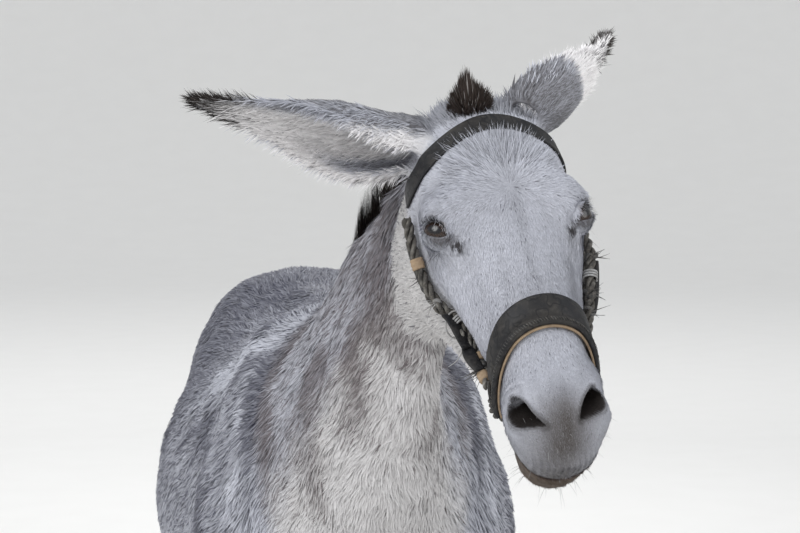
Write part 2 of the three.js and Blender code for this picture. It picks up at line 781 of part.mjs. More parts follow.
// The tail hangs free behind the thighs: a short-haired dock that ends in a long brush.
const TAIL_PATH = new THREE.CatmullRomCurve3([
  new THREE.Vector3(QUARTERS_X - 6, 560, 1062),
  new THREE.Vector3(QUARTERS_X - 6, 640, 1058),
  new THREE.Vector3(QUARTERS_X - 4, 694, 990),
  new THREE.Vector3(QUARTERS_X - 8, 704, 860),
  new THREE.Vector3(QUARTERS_X - 8, 696, 720),
  new THREE.Vector3(QUARTERS_X - 4, 690, 580),
  new THREE.Vector3(QUARTERS_X, 688, 440),
]);
const TAIL_RADII = new THREE.SplineCurve(
  [
    [0, 40],
    [0.12, 36],
    [0.3, 24],
    [0.5, 20],
    [0.6, 26],
    [0.76, 42],
    [0.9, 34],
    [1, 8],
  ].map(([t, r]) => new THREE.Vector2(t, r)),
);
const BRUSH_START = 0.52;

function tailSolids() {
  const sides = 8;
  const ringAt = (t, grow = 0) => {
    const centre = TAIL_PATH.getPoint(t);
    const tangent = TAIL_PATH.getTangent(t);
    const side = new THREE.Vector3(1, 0, 0);
    const back = new THREE.Vector3().crossVectors(side, tangent).normalize();
    const radius = TAIL_RADII.getPoint(t).y + grow;
    return Array.from({ length: sides }, (_, i) => {
      const angle = ((i + 0.5) / sides) * 2 * Math.PI;
      return centre
        .clone()
        .addScaledVector(side, Math.cos(angle) * radius)
        .addScaledVector(back, Math.sin(angle) * radius * 0.86);
    });
  };
  const length = TAIL_PATH.getLength();
  const run = (from, to, steps) =>
    outward(Array.from({ length: steps + 1 }, (_, i) => ringAt(lerp(from, to, i / steps))));
  return {
    dock: run(0, BRUSH_START - GAP / length, 9).subtract(trunkShell),
    brush: run(BRUSH_START, 1, 8),
  };
}

// ---------------------------------------------------------------- the halter's forms

// A point on the head at an angle round its long axis (0 is the face, 90 its left side),
// `lift` out from the hair.
const AXIS_UP = -66;
function onHead(angle, along, lift) {
  const out = new THREE.Vector3(Math.sin(radians(angle)), 0, Math.cos(radians(angle)));
  const from = out.clone().multiplyScalar(260).add(new THREE.Vector3(0, -along, AXIS_UP));
  const p = landing(headField, from, out.clone().negate()).addScaledVector(out, lift);
  return p.applyMatrix4(headMatrix);
}

// A strap round the head. `along` gives its middle line for each angle.
const crownLine = (a) => 50 + 36 * Math.sin(radians(a)) ** 2;
const CROWN = { from: -106, to: 106, step: 13.25, along: crownLine, width: 25, low: 3, high: 6 };
const noseLine = (a) => 304 + 43 * (1 - Math.cos(radians(a)));
const NOSEBAND = { from: -116, to: 116, step: 14.5, along: noseLine, width: 38, low: 7, high: 11.5 };
const LINING = { ...NOSEBAND, along: (a) => noseLine(a) + 2, width: 42, low: 2.6, high: 4.6 };

function strapOn({ from, to, step, along, width, low, high }) {
  const rings = [];
  for (let angle = from; angle <= to + 0.01; angle += step) {
    const [back, front] = [along(angle) - width / 2, along(angle) + width / 2];
    rings.push([
      onHead(angle, back, low),
      onHead(angle, front, low),
      onHead(angle, front, high),
      onHead(angle, back, high),
    ]);
  }
  return outward(rings);
}

const ROPE = { radius: 6.5, sides: 6, off: 10, knot: 10.5 };
const ropeOf = (points, knots = []) => {
  const path = new THREE.CatmullRomCurve3(points);
  const profile = new THREE.Shape(
    Array.from({ length: ROPE.sides }, (_, i) => {
      const angle = (i / ROPE.sides) * 2 * Math.PI;
      return new THREE.Vector2(Math.cos(angle) * ROPE.radius, Math.sin(angle) * ROPE.radius);
    }),
  );
  const steps = Math.ceil(path.getLength() / (6 * ROPE.radius));
  const rope = solidOf(new THREE.ExtrudeGeometry(profile, { steps, extrudePath: path }));
  const knotted = knots.reduce((solid, t) => {
    const at = new THREE.Matrix4().makeTranslation(path.getPointAt(t));
    return solid.add(solidOf(new THREE.IcosahedronGeometry(ROPE.knot, 0), at));
  }, rope);
  return knotted.subtract(headShell);
};

// Down the cheek from the crown strap's end to the noseband's, as [angle, along] on the head.
// Each rope has knots in it, at these shares of its length.
const CHEEK_ROPES = {
  cheek_rope_right: {
    path: [[-97, 120], [-105, 152], [-116, 208], [-126, 262], [-126, 300], [-121, 326]],
    knots: [0.42, 0.9],
  },
  cheek_rope_left: {
    path: [[99, 120], [98, 152], [92, 208], [95, 262], [110, 318]],
    knots: [0.5, 0.72],
  },
};

// Under the chin, from one end of the noseband to the other.
const CHIN_ROPE = { angles: [126, 150, 180, 210, 234], along: 354, off: 13 };
const chinPath = () =>
  CHIN_ROPE.angles.map((angle) => onHead(angle, CHIN_ROPE.along, CHIN_ROPE.off));

// ---------------------------------------------------------------- the scene graph

const COAT = { color: 0xb9b7b8, roughness: 0.9, metalness: 0 };
const finishes = {
  coat: new THREE.MeshStandardMaterial(COAT),
  dark_hair: new THREE.MeshStandardMaterial({ color: 0x3a322f, roughness: 0.85 }),
  hoof: new THREE.MeshStandardMaterial({ color: 0x4c463f, roughness: 0.6 }),
  eye: new THREE.MeshStandardMaterial({ color: 0x1d120d, roughness: 0.08 }),
  leather: new THREE.MeshStandardMaterial({ color: 0x3b3a3c, roughness: 0.6 }),
  tan: new THREE.MeshStandardMaterial({ color: 0xb08a5e, roughness: 0.8 }),
  rope: new THREE.MeshStandardMaterial({ color: 0x57524a, roughness: 0.9 }),
};

const donkey = new THREE.Group();
function addPart(name, solid, material) {
  const mesh = new THREE.Mesh(geometryOf(solid), material);
  mesh.name = name;
  donkey.add(mesh);
}

const TRUNK_GRID = [
  linesOf(-330, [330, 69]),
  linesOf(-760, [-240, 58], [200, 110], [740, 67]),
  linesOf(440, [1240, 60]),
];
const NECK_GRID = [
  linesOf(-240, [260, 40]),
  linesOf(-900, [-280, 47.5]),
  linesOf(660, [1500, 49.5]),
];
const HEAD_GRID = [
  linesOf(-133, [133, 20.5]),
  linesOf(-540, [-340, 18], [-100, 22.5], [140, 30]),
  linesOf(-300, [-120, 24], [80, 19.5]),
];
const SHELL = 0.8; // what a part cut to fit a neighbour keeps off it

const trunkMesh = meshOf(wholeBody, TRUNK_GRID);
const neckMesh = meshOf(wholeBody, NECK_GRID);
const headMesh = meshOf(wholeBody, HEAD_GRID, headMatrix);
const headShell = meshOf(wholeBody, HEAD_GRID, headMatrix, SHELL).add(headMesh);
const neckShell = meshOf(wholeBody, NECK_GRID, new THREE.Matrix4(), SHELL).add(neckMesh);
const trunkShell = meshOf(wholeBody, TRUNK_GRID, new THREE.Matrix4(), SHELL).add(trunkMesh);

let trunk = trunkMesh.intersect(blockBehind(NECK_CUT.point, NECK_CUT.normal, -GAP / 2));
for (const leg of Object.values(LEGS)) trunk = trunk.subtract(legBlock(leg.fore, leg.side, GAP));
addPart("trunk", trunk, finishes.coat);

addPart(
  "neck",
  neckMesh
    .subtract(blockBehind(NECK_CUT.point, NECK_CUT.normal, GAP / 2))
    .subtract(headBlock(GAP)),
  finishes.coat,
);

let head = headMesh.intersect(headBlock(0));
for (const side of [1, -1]) {
  const at = new THREE.Matrix4().makeTranslation(eyeCentre(side));
  const name = side > 0 ? "eye_left" : "eye_right";
  addPart(name, solidOf(new THREE.SphereGeometry(EYE.radius, 10, 7), at), finishes.eye);
  head = head.subtract(solidOf(new THREE.SphereGeometry(EYE.radius + 2 * GAP, 10, 7), at));
}
addPart("head", head, finishes.coat);

for (const [name, ear] of Object.entries(EARS))
  addPart(name, earSolid(ear).subtract(headShell), finishes.coat);

for (const [key, leg] of Object.entries(LEGS)) {
  const { x, y } = hoofAt(leg);
  const around = (start, end, cell) => linesOf(start, [end, cell]);
  const top = coronet(leg);
  const grid = leg.fore
    ? [around(x - 150, x + 150, 27), around(y - 190, y + 250, 27)]
    : [around(x - 150, x + 180, 31), around(y - 330, y + 290, 33)];
  const rises = leg.fore
    ? linesOf(20, [215, 27], [320, 54], [420, 29], [780, 72])
    : linesOf(20, [215, 27], [390, 60], [560, 32], [880, 68]);
  const solid = meshOf(wholeBody, [...grid, rises])
    .intersect(legBlock(leg.fore, leg.side, 0))
    .subtract(blockBehind(top.point, top.normal, GAP));
  const name = key.replace(/([A-Z])/, (_, c) => "leg_" + c.toLowerCase());
  addPart(name, solid, finishes.coat);
  addPart("hoof_" + name.replace("leg", ""), hoofSolid(leg), finishes.hoof);
}

// ---------------------------------------------------------------- mane, forelock and tail

addPart("mane", maneSolid(), finishes.dark_hair);
addPart("forelock", forelockSolid(), finishes.dark_hair);
const tail = tailSolids();
addPart("tail_dock", tail.dock, finishes.coat);
addPart("tail_switch", tail.brush, finishes.dark_hair);

// ---------------------------------------------------------------- the halter

addPart("crown_strap", strapOn(CROWN), finishes.leather);
addPart("noseband_lining", strapOn(LINING), finishes.tan);
addPart("noseband", strapOn(NOSEBAND), finishes.leather);
addPart("chin_rope", ropeOf(chinPath()), finishes.rope);
for (const [name, { path, knots }] of Object.entries(CHEEK_ROPES)) {
  const points = path.map(([angle, along]) => onHead(angle, along, ROPE.off));
  addPart(name, ropeOf(points, knots), finishes.rope);
}

const bounds = new THREE.Box3().setFromObject(donkey);
const centre = bounds.getCenter(new THREE.Vector3());
donkey.position.set(-centre.x, -centre.y, 0);

export default donkey;
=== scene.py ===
"""The looks of a life-size standing donkey in a home-made head halter."""

import math

import bmesh
import bpy
import numpy as np
from bpy.props import FloatProperty, FloatVectorProperty, IntProperty, PointerProperty
from bpy.types import Operator, Panel, PropertyGroup
from mathutils import Euler, Matrix, Vector
from mathutils.bvhtree import BVHTree


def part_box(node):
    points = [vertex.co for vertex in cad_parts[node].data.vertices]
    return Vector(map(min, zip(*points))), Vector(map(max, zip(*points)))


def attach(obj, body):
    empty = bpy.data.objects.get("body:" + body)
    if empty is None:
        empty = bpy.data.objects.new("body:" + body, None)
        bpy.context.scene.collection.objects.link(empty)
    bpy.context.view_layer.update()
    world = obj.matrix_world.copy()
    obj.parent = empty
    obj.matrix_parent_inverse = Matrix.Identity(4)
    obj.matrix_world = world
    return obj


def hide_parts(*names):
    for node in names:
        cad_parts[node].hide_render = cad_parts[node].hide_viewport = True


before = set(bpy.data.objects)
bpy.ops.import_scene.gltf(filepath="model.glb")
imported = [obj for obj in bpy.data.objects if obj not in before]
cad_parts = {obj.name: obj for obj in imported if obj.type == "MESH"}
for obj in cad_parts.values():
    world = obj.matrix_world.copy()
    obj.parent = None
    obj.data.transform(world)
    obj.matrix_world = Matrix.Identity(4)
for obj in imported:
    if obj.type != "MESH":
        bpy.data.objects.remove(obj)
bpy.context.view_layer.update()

bl_info = {
    "name": "Donkey in a head halter",
    "version": (1, 0, 0),
    "blender": (4, 5, 0),
    "location": "View3D > Sidebar > Donkey",
    "description": "Dresses a standing donkey's solid frame in skin, coat, hair, eyes and halter",
    "category": "Add Mesh",
}

MM = 0.001
UP = np.array([0.0, 0.0, 1.0])

# ------------------------------------------------------------------ the animal's own frames

FLESH = [
    "trunk", "neck", "head", "ear_right", "ear_left", "foreleg_left", "foreleg_right",
    "hindleg_left", "hindleg_right", "tail_dock",
]
HEAD_TURN = np.array(Euler([math.radians(a) for a in (54, -5.5, 10)]).to_matrix())
EYE_IN_HEAD = np.array([-0.0853, -0.1739, -0.0294])  # the right one; the head's -y runs to the lips


def node_centre(name):
    low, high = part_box(name)
    return np.array((low + high) / 2)


HEAD_ORIGIN = node_centre("eye_right") - HEAD_TURN @ EYE_IN_HEAD


def to_head(p):
    """Points in the head's frame: x to its left, y back to the poll, z out of the face."""
    return (p - HEAD_ORIGIN) @ HEAD_TURN


def from_head(p):
    return np.asarray(p) @ HEAD_TURN.T + HEAD_ORIGIN


def smooth(x, low, high):
    """0 below low, 1 above high, and a soft step between."""
    t = np.clip((x - low) / (high - low), 0, 1)
    return t * t * (3 - 2 * t)


def bell(x, width):
    return np.exp(-((x / width) ** 2))


def unit(v):
    return v / np.maximum(np.linalg.norm(v, axis=-1, keepdims=True), 1e-9)


def dot(a, b):
    return np.sum(a * b, axis=-1)


class Axis:
    """A bent middle line through a part of the body, and cylinder coordinates round it."""

    def __init__(self, points, side=(1, 0, 0)):
        self.p = np.array(points, float)
        self.step = np.diff(self.p, axis=0)
        self.long = np.linalg.norm(self.step, axis=1)
        self.start = np.concatenate([[0], np.cumsum(self.long)])
        self.side = np.array(side, float)

    def around(self, q):
        """(length along, angle from the top, distance out, direction along) of each point."""
        best = np.full(len(q), np.inf)
        s, out, way = np.zeros(len(q)), np.zeros((len(q), 3)), np.zeros((len(q), 3))
        for a, d, size, start in zip(self.p, self.step, self.long, self.start):
            t = np.clip((q - a) @ d / size**2, 0, 1)
            off = q - a - t[:, None] * d
            away = dot(off, off)
            near = away < best
            best[near] = away[near]
            s[near] = start + t[near] * size
            out[near] = off[near]
            way[near] = d / size
        side = unit(self.side - way * (way @ self.side)[:, None])
        over = np.cross(side, way)
        over *= np.sign(over[:, 2] + 1e-9)[:, None]
        return s, np.arctan2(dot(out, side), dot(out, over)), np.sqrt(best), way


TRUNK_AXIS = Axis([(-0.01, -0.42, 0.86), (-0.012, -0.1, 0.85), (-0.022, 0.3, 0.85), (-0.03, 0.8, 0.95)])
NECK_AXIS = Axis([
    (-0.014, -0.262, 0.953), (-0.012, -0.359, 1.039), (0.004, -0.431, 1.138),
    (0.035, -0.505, 1.232), (0.077, -0.567, 1.321), (0.090, -0.630, 1.370),
])

# ------------------------------------------------------------------ noise over points

RNG = np.random.default_rng(7)
TABLE = RNG.random(4096)


def noise(p, size, seed=0):
    """Smooth noise from 0 to 1 with cells of that size."""
    q = p / size + seed * 17.3
    cell = np.floor(q).astype(np.int64)
    f = q - cell
    f = f * f * (3 - 2 * f)
    total = np.zeros(len(p))
    for corner in range(8):
        offset = np.array([corner & 1, corner >> 1 & 1, corner >> 2])
        c = cell + offset
        key = (c[:, 0] * 73856093) ^ (c[:, 1] * 19349663) ^ (c[:, 2] * 83492791) ^ (seed * 7919)
        share = np.prod(np.where(offset, f, 1 - f), axis=1)
        total += TABLE[key & 4095] * share
    return total


def streaks(p, flow, size, reach, seed=0, taps=7):
    """Noise drawn out along the lie of the coat, from 0 to 1."""
    steps = np.linspace(-0.5, 0.5, taps) * reach
    mean = sum(noise(p + flow * step, size, seed) for step in steps) / taps
    return np.clip(0.5 + (mean - 0.5) * 2.2, 0, 1)


# ------------------------------------------------------------------ meshes

MADE = {}


def object_from(name, co, loops, sizes):
    """A mesh object from flat arrays: corners in `loops`, and each face's corner count."""
    mesh = bpy.data.meshes.new(name)
    mesh.vertices.add(len(co))
    mesh.vertices.foreach_set("co", np.asarray(co, np.float32).ravel())
    mesh.loops.add(len(loops))
    mesh.loops.foreach_set("vertex_index", np.asarray(loops, np.int32))
    mesh.polygons.add(len(sizes))
    starts = np.concatenate([[0], np.cumsum(sizes)[:-1]]).astype(np.int32)
    mesh.polygons.foreach_set("loop_start", starts)
    mesh.polygons.foreach_set("use_smooth", np.ones(len(sizes), bool))
    mesh.update(calc_edges=True)
    made = bpy.data.objects.new(name, mesh)
    bpy.context.scene.collection.objects.link(made)
    return made


def points_of(mesh, what="vertices", key="co"):
    data = np.empty(len(getattr(mesh, what)) * 3, np.float32)
    getattr(mesh, what).foreach_get(key, data)
    return data.reshape(-1, 3).astype(float)


def edges_of(mesh):
    data = np.empty(len(mesh.edges) * 2, np.int32)
    mesh.edges.foreach_get("vertices", data)
    return data.reshape(-1, 2)


def paint(mesh, name, rgb):
    """Stores a colour on each vertex."""
    layer = mesh.color_attributes.new(name, "FLOAT_COLOR", "POINT")
    rgba = np.ones((len(mesh.vertices), 4), np.float32)
    rgba[:, :3] = rgb
    layer.data.foreach_set("color", rgba.ravel())


def place(made, material, slot, *nodes):
    """Gives a piece its material and its CAD body, and hides the CAD nodes that it stands for; the slot is
    not used.
    """
    made.data.materials.append(material)
    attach(made, "root")
    if nodes:
        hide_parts(*nodes)
    return made


def spread(co, edges, share):
    """The mean of each vertex's neighbours, times share, past the vertex itself."""
    n = len(co)
    degree = np.maximum(np.bincount(edges.ravel(), minlength=n), 1)
    mean = np.empty_like(co)
    for k in range(co.shape[1]):
        mean[:, k] = np.bincount(edges[:, 0], co[edges[:, 1], k], n)
        mean[:, k] += np.bincount(edges[:, 1], co[edges[:, 0], k], n)
    return co + (mean / degree[:, None] - co) * share


def relax(co, edges, weight, rounds):
    """Smooths small forms away, and gives back what that takes from the large ones."""
    soft = co
    for _ in range(rounds):
        soft = spread(soft, edges, 0.6 * weight[:, None])
    lost = co - soft
    for _ in range(rounds):
        lost = spread(lost, edges, 0.6 * weight[:, None])
    return soft + lost


def main_body(n, edges):
    """The vertices of the largest connected part."""
    label = np.arange(n)
    while True:
        low = label.copy()
        np.minimum.at(low, edges[:, 0], label[edges[:, 1]])
        np.minimum.at(low, edges[:, 1], label[edges[:, 0]])
        low = low[low]
        if np.array_equal(low, label):
            break
        label = low
    return label == np.bincount(label).argmax()


def nearest_on(tree, points):
    """The nearest surface points to these, their normals and their distances."""
    found = [tree.find_nearest(p) for p in points]
    return (
        np.array([f[0] for f in found]),
        np.array([f[1] for f in found]),
        np.array([f[3] for f in found]),
        np.array([f[2] for f in found]),
    )


def cad_shell(name, push=0.0):
    """A CAD node as one closed shell of shared points, pushed out by `push`."""
    bm = bmesh.new()
    bm.from_mesh(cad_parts[name].data)
    bmesh.ops.remove_doubles(bm, verts=bm.verts, dist=1e-5)
    bm.normal_update()
    co = np.array([v.co + v.normal * push for v in bm.verts])
    faces = [[v.index for v in face.verts] for face in bm.faces]
    bm.free()
    return co, faces


def joined(shells):
    co, faces, start = [], [], 0
    for points, corners in shells:
        co.append(points)
        faces += [[i + start for i in face] for face in corners]
        start += len(points)
    return np.concatenate(co), faces


def loops_of(faces):
    return [i for face in faces for i in face], [len(face) for face in faces]


# ------------------------------------------------------------------ node trees

class Tree:
    """A short way to add and join nodes."""

    def __init__(self, tree):
        self.tree = tree

    def set(self, socket, value):
        if isinstance(value, bpy.types.NodeSocket):
            self.tree.links.new(value, socket)
        else:
            socket.default_value = (*value, 1) if socket.type == "RGBA" else value

    def add(self, kind, values=(), out=0, **settings):
        node = self.tree.nodes.new(kind)
        for key, value in settings.items():
            setattr(node, key, value)
        for key, value in dict(values).items():
            self.set(node.inputs[key], value)
        return node.outputs[out]

    def math(self, operation, a, b=0.0, clamp=False):
        values = {0: a, 1: b}
        return self.add("ShaderNodeMath", values, operation=operation, use_clamp=clamp)

    def mix(self, share, a, b, way="MIX"):
        values = {0: share, 6: a, 7: b}
        return self.add("ShaderNodeMix", values, 2, data_type="RGBA", blend_type=way)

    def between(self, value, low, high, to_low=0.0, to_high=1.0):
        values = {0: value, 1: low, 2: high, 3: to_low, 4: to_high}
        return self.add("ShaderNodeMapRange", values)

    def noise(self, scale, where, detail=3.0):
        values = {"Vector": where, "Scale": scale, "Detail": detail}
        return self.add("ShaderNodeTexNoise", values)


def effect(name, inputs, outputs, fill):
    """A shader node group with named sockets, whose inner nodes `fill` adds."""
    group = bpy.data.node_groups.new(name, "ShaderNodeTree")
    for key, kind, default in inputs:
        socket = group.interface.new_socket(key, in_out="INPUT", socket_type=kind)
        socket.default_value = default
    for key, kind in outputs:
        group.interface.new_socket(key, in_out="OUTPUT", socket_type=kind)
    tree = Tree(group)
    came = group.nodes.new("NodeGroupInput").outputs
    went = group.nodes.new("NodeGroupOutput").inputs
    where = tree.add("ShaderNodeTexCoord", out="Object")
    for key, value in fill(tree, came, where).items():
        tree.set(went[key], value)
    return group


FLOAT, COLOUR = "NodeSocketFloat", "NodeSocketColor"


def hair_grain(tree, came, where):
    """Fine broken shade of a lie of hair."""
    fine = tree.noise(came["Scale"], where, 4.0)
    broad = tree.noise(tree.math("MULTIPLY", came["Scale"], 0.13), where, 2.0)
    both = tree.math("ADD", tree.math("MULTIPLY", fine, 0.65), tree.math("MULTIPLY", broad, 0.35))
    low = tree.math("SUBTRACT", 1.0, came["Strength"])
    high = tree.math("ADD", 1.0, came["Strength"])
    return {"Shade": tree.between(both, 0.32, 0.68, low, high), "Height": fine}


def surface_wear(tree, came, where):
    """Scuffs, dust and creases of a thing long in use."""
    scuff = tree.noise(came["Scale"], where, 6.0)
    patch = tree.noise(tree.math("MULTIPLY", came["Scale"], 0.2), where, 2.0)
    rubbed = tree.math("MULTIPLY", tree.between(scuff, 0.5, 0.72), came["Amount"], True)
    fold = tree.noise(tree.math("MULTIPLY", came["Scale"], 0.33), where, 1.5)
    lines = tree.between(tree.math("ABSOLUTE", tree.math("SUBTRACT", fold, 0.5)), 0.0, 0.035)
    height = tree.math("ADD", tree.math("MULTIPLY", lines, 0.3), tree.math("MULTIPLY", scuff, 0.7))
    return {"Rubbed": rubbed, "Dust": tree.between(patch, 0.42, 0.7), "Creases": lines, "Height": height}


EFFECTS = {
    "Hair grain": (
        hair_grain,
        [("Scale", FLOAT, 300.0), ("Strength", FLOAT, 0.15)],
        [("Shade", FLOAT), ("Height", FLOAT)],
    ),
    "Surface wear": (
        surface_wear,
        [("Scale", FLOAT, 120.0), ("Amount", FLOAT, 0.7)],
        [("Rubbed", FLOAT), ("Dust", FLOAT), ("Creases", FLOAT), ("Height", FLOAT)],
    ),
}


def group_of(name):
    if name not in bpy.data.node_groups:
        fill, inputs, outputs = EFFECTS[name]
        effect(name, inputs, outputs, fill)
    return bpy.data.node_groups[name]


def material_of(name, dress):
    """A named material: `dress` gets the tree and returns what goes into the Principled shader."""
    if name in bpy.data.materials:
        return bpy.data.materials[name]
    material = bpy.data.materials.new(name)
    material.use_nodes = True
    tree = Tree(material.node_tree)
    shader = material.node_tree.nodes["Principled BSDF"]
    where = tree.add("ShaderNodeTexCoord", out="Object")
    for key, value in dress(tree, where).items():
        tree.set(shader.inputs[key], value)
    return material


def placed_effect(tree, name, **values):
    """A group node of a shared effect, and its named outputs."""
    node = tree.tree.nodes.new("ShaderNodeGroup")
    node.node_tree = group_of(name)
    for key, value in values.items():
        tree.set(node.inputs[key], value)
    return node.outputs


def raised(tree, height, distance, strength=0.5):
    values = {"Height": height, "Distance": distance, "Strength": strength}
    return tree.add("ShaderNodeBump", values)


def hair_material(name, scale, strength, roughness, bump):
    """Hair whose own colour is stored on its points, with a fine broken shade over it."""

    def dress(tree, where):
        grain = placed_effect(tree, "Hair grain", Scale=scale, Strength=strength)
        own = tree.add("ShaderNodeAttribute", attribute_name="Hair colour")
        colour = tree.mix(1.0, own, grain["Shade"], "MULTIPLY")
        return {
            "Base Color": colour,
            "Roughness": tree.between(grain["Height"], 0.3, 0.7, roughness + 0.08, roughness - 0.08),
            "Specular IOR Level": 0.25,
            "Normal": raised(tree, grain["Height"], bump),
        }

    return material_of(name, dress)


# ------------------------------------------------------------------ the stage

class DonkeyStage(PropertyGroup):
    camera_at: FloatVectorProperty(
        name="Camera place", description="Where the camera stands",
        default=(-0.3277, -4.0606, 1.495), subtype="TRANSLATION", unit="LENGTH",
    )
    camera_turn: FloatVectorProperty(
        name="Camera turn", description="The camera's rotation",
        default=(math.radians(85.65), 0.0, math.radians(-5.5)), subtype="EULER",
    )
    lens: FloatProperty(
        name="Lens", description="Focal length on a 36 mm wide sensor, in millimetres", default=131.2,
    )
    floor_size: FloatProperty(
        name="Floor size", description="Radius of the flat of the floor", default=14.0, unit="LENGTH",
    )
    backdrop_height: FloatProperty(
        name="Backdrop height", description="Height that the floor curves up to behind",
        default=9.0, unit="LENGTH",
    )
    floor_colour: FloatVectorProperty(
        name="Floor colour", description="The floor's pale colour",
        default=(0.84, 0.83, 0.81), subtype="COLOR",
    )
    sky_light: FloatProperty(
        name="Sky light", description="Strength of the even light from all round", default=0.62,
    )


def area_light(name, place_at, aim, power, size):
    light = bpy.data.lights.new(name, "AREA")
    light.energy, light.shape, light.size = power, "DISK", size
    made = bpy.data.objects.new(name, light)
    made.location = place_at
    made.rotation_euler = (Vector(aim) - Vector(place_at)).to_track_quat("-Z", "Y").to_euler()
    bpy.context.scene.collection.objects.link(made)


class DONKEY_OT_stage(Operator):
    """Sets the floor, the soft studio light and the camera"""

    bl_idname = "donkey.stage"
    bl_label = "Stage"

    def execute(self, context):
        sizes = context.scene.donkey_stage
        camera = bpy.data.cameras.new("camera")
        camera.lens, camera.sensor_width = sizes.lens, 36
        camera.clip_end = 200
        eye = bpy.data.objects.new("camera", camera)
        eye.location, eye.rotation_euler = sizes.camera_at, sizes.camera_turn
        context.scene.collection.objects.link(eye)
        context.scene.camera = eye

        span, rise = sizes.floor_size, sizes.backdrop_height
        turn = np.linspace(0, 2 * math.pi, 96, endpoint=False)
        t = np.linspace(0, 1, 25)
        reach = np.concatenate([[0.5, 3.0, 8.0], span + rise * np.sin(t * math.pi / 2)])
        height = np.concatenate([[0, 0, 0], rise * (1 - np.cos(t * math.pi / 2))])
        wide = reach[:, None]
        rings = np.stack([wide * np.cos(turn), wide * np.sin(turn), height[:, None] + 0 * turn], -1)
        index = np.arange(rings.shape[0] * 96).reshape(-1, 96)
        nxt = np.roll(index, -1, axis=1)
        quads = np.stack([index[:-1], index[1:], nxt[1:], nxt[:-1]], -1).reshape(-1, 4)
        loops = np.concatenate([index[0], quads.ravel()])
        floor = object_from("floor", rings.reshape(-1, 3), loops, [96] + [4] * len(quads))

        def dress(tree, where):
            grain = tree.noise(6.0, where, 4.0)
            return {
                "Base Color": tree.mix(
                    tree.between(grain, 0.3, 0.7, 0.0, 0.06), tuple(sizes.floor_colour), (0.62, 0.60, 0.57)
                ),
                "Roughness": 0.9,
            }

        floor.data.materials.append(material_of("Pale floor", dress))

        world = bpy.data.worlds.new("studio")
        world.use_nodes = True
        sky = world.node_tree.nodes["Background"].inputs
        sky["Color"].default_value = (0.93, 0.96, 1.0, 1)
        sky["Strength"].default_value = sizes.sky_light
        context.scene.world = world
        area_light("key", (-2.9, -3.3, 4.3), (0, -0.4, 1.0), 155, 3.6)
        area_light("fill", (3.4, -2.6, 2.6), (0, -0.2, 1.0), 45, 3.0)
        area_light("back", (0.6, 4.6, 3.8), (0, 0.2, 1.0), 90, 3.0)
        for quarter in range(4):
            way = np.array([math.sin(quarter * math.pi / 2), math.cos(quarter * math.pi / 2), 0])
            area_light(f"backdrop_{quarter + 1}", way * 5 + UP * 6.5, way * 20 + UP * 3.5, 420, 4.0)
        context.scene.view_settings.view_transform = "Standard"
        return {"FINISHED"}


# ------------------------------------------------------------------ the skin's forms

class Spot:
    """A place on the head with its own axes, all in millimetres: a along, b across, h out."""

    def __init__(self, centre, out, long):
        self.centre = np.array(centre, float)
        self.out = unit(np.array(out, float))
        self.long = unit(long - self.out * dot(long, self.out))
        self.across = np.cross(self.out, self.long)

    def local(self, p):
        q = (p - self.centre) * 1000
        return q @ self.long, q @ self.across, q @ self.out

    def world(self, a, b, h):
        axes = a[:, None] * self.long + b[:, None] * self.across + h[:, None] * self.out
        return self.centre + axes / 1000


class Eye(Spot):
    """An eyeball and the almond opening between its lids."""

    HALF = 16.0
    TOP, BOTTOM = 9.6, 7.2

    def __init__(self, side):
        name = "eye_left" if side > 0 else "eye_right"
        low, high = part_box(name)
        look = HEAD_TURN @ unit(np.array([0.57 * side, -0.14, 0.81]))
        super().__init__((low + high) / 2, look, HEAD_TURN @ np.array([0.695 * side, 0.593, -0.406]))
        if self.across @ HEAD_TURN[:, 2] < 0:
            self.across = -self.across
        self.side = side
        self.radius = float(np.mean(np.array(high - low)) / 2) * 1000 * 0.985

    def edge(self, a):
        """How high the upper and how low the lower lid's edge is, at each place along."""
        open_ = np.clip(1 - np.abs(a / self.HALF) ** 2.1, 0, 1)
        sag = 1.1 * bell(a + 11, 7)
        return self.TOP * open_**0.8 - sag, -self.BOTTOM * open_**0.75 - sag * 0.5

    def off(self, a, b):
        """How far outside the opening a point is, below 0 inside it."""
        top, bottom = self.edge(a)
        beside = np.maximum(b - top, bottom - b)
        past = np.maximum(np.abs(a) - self.HALF, 0)
        return np.where(past > 0, np.hypot(past, np.maximum(beside, 0)), beside)

    def shape(self, co):
        a, b, h = self.local(co)
        near = (a * a + b * b + h * h < 52**2) & (h > -4)
        a, b, h = a[near], b[near], h[near]
        top, bottom = self.edge(a)
        inside = np.abs(a) < self.HALF - 1
        for edge in (top, bottom):
            close = inside & (np.abs(b - edge) < 0.75)
            b = np.where(close, edge, b)
        off = self.off(a, b)
        reach = np.sqrt(a * a + b * b + h * h)
        upper = smooth(b, -3, 5)
        lid = self.radius + 1.0 + 1.9 * upper * bell(off - 2.2, 3.2) + 0.9 * (1 - upper) * bell(off - 2, 2.6)
        fold = -1.5 * bell(off - 8.5, 1.6) * upper - 0.8 * bell(off - 13, 1.6) * upper
        fold += -0.9 * bell(off - 7.0, 1.5) * (1 - upper) * smooth(-np.abs(a), -20, -8)
        share = 1 - smooth(off, 3, 12 + 6 * upper)
        wanted = np.where(off < -0.01, self.radius - 5.5, lid)
        grown = reach + (wanted - reach) * share + fold * smooth(off, 2, 5)
        covered = (off > -0.01) & (a * a + b * b < self.radius**2)
        grown = np.where(covered, np.maximum(grown, self.radius + 0.7), grown)
        scale = grown / np.maximum(reach, 1)
        co[near] = self.world(a * scale, b * scale, h * scale)
        return co


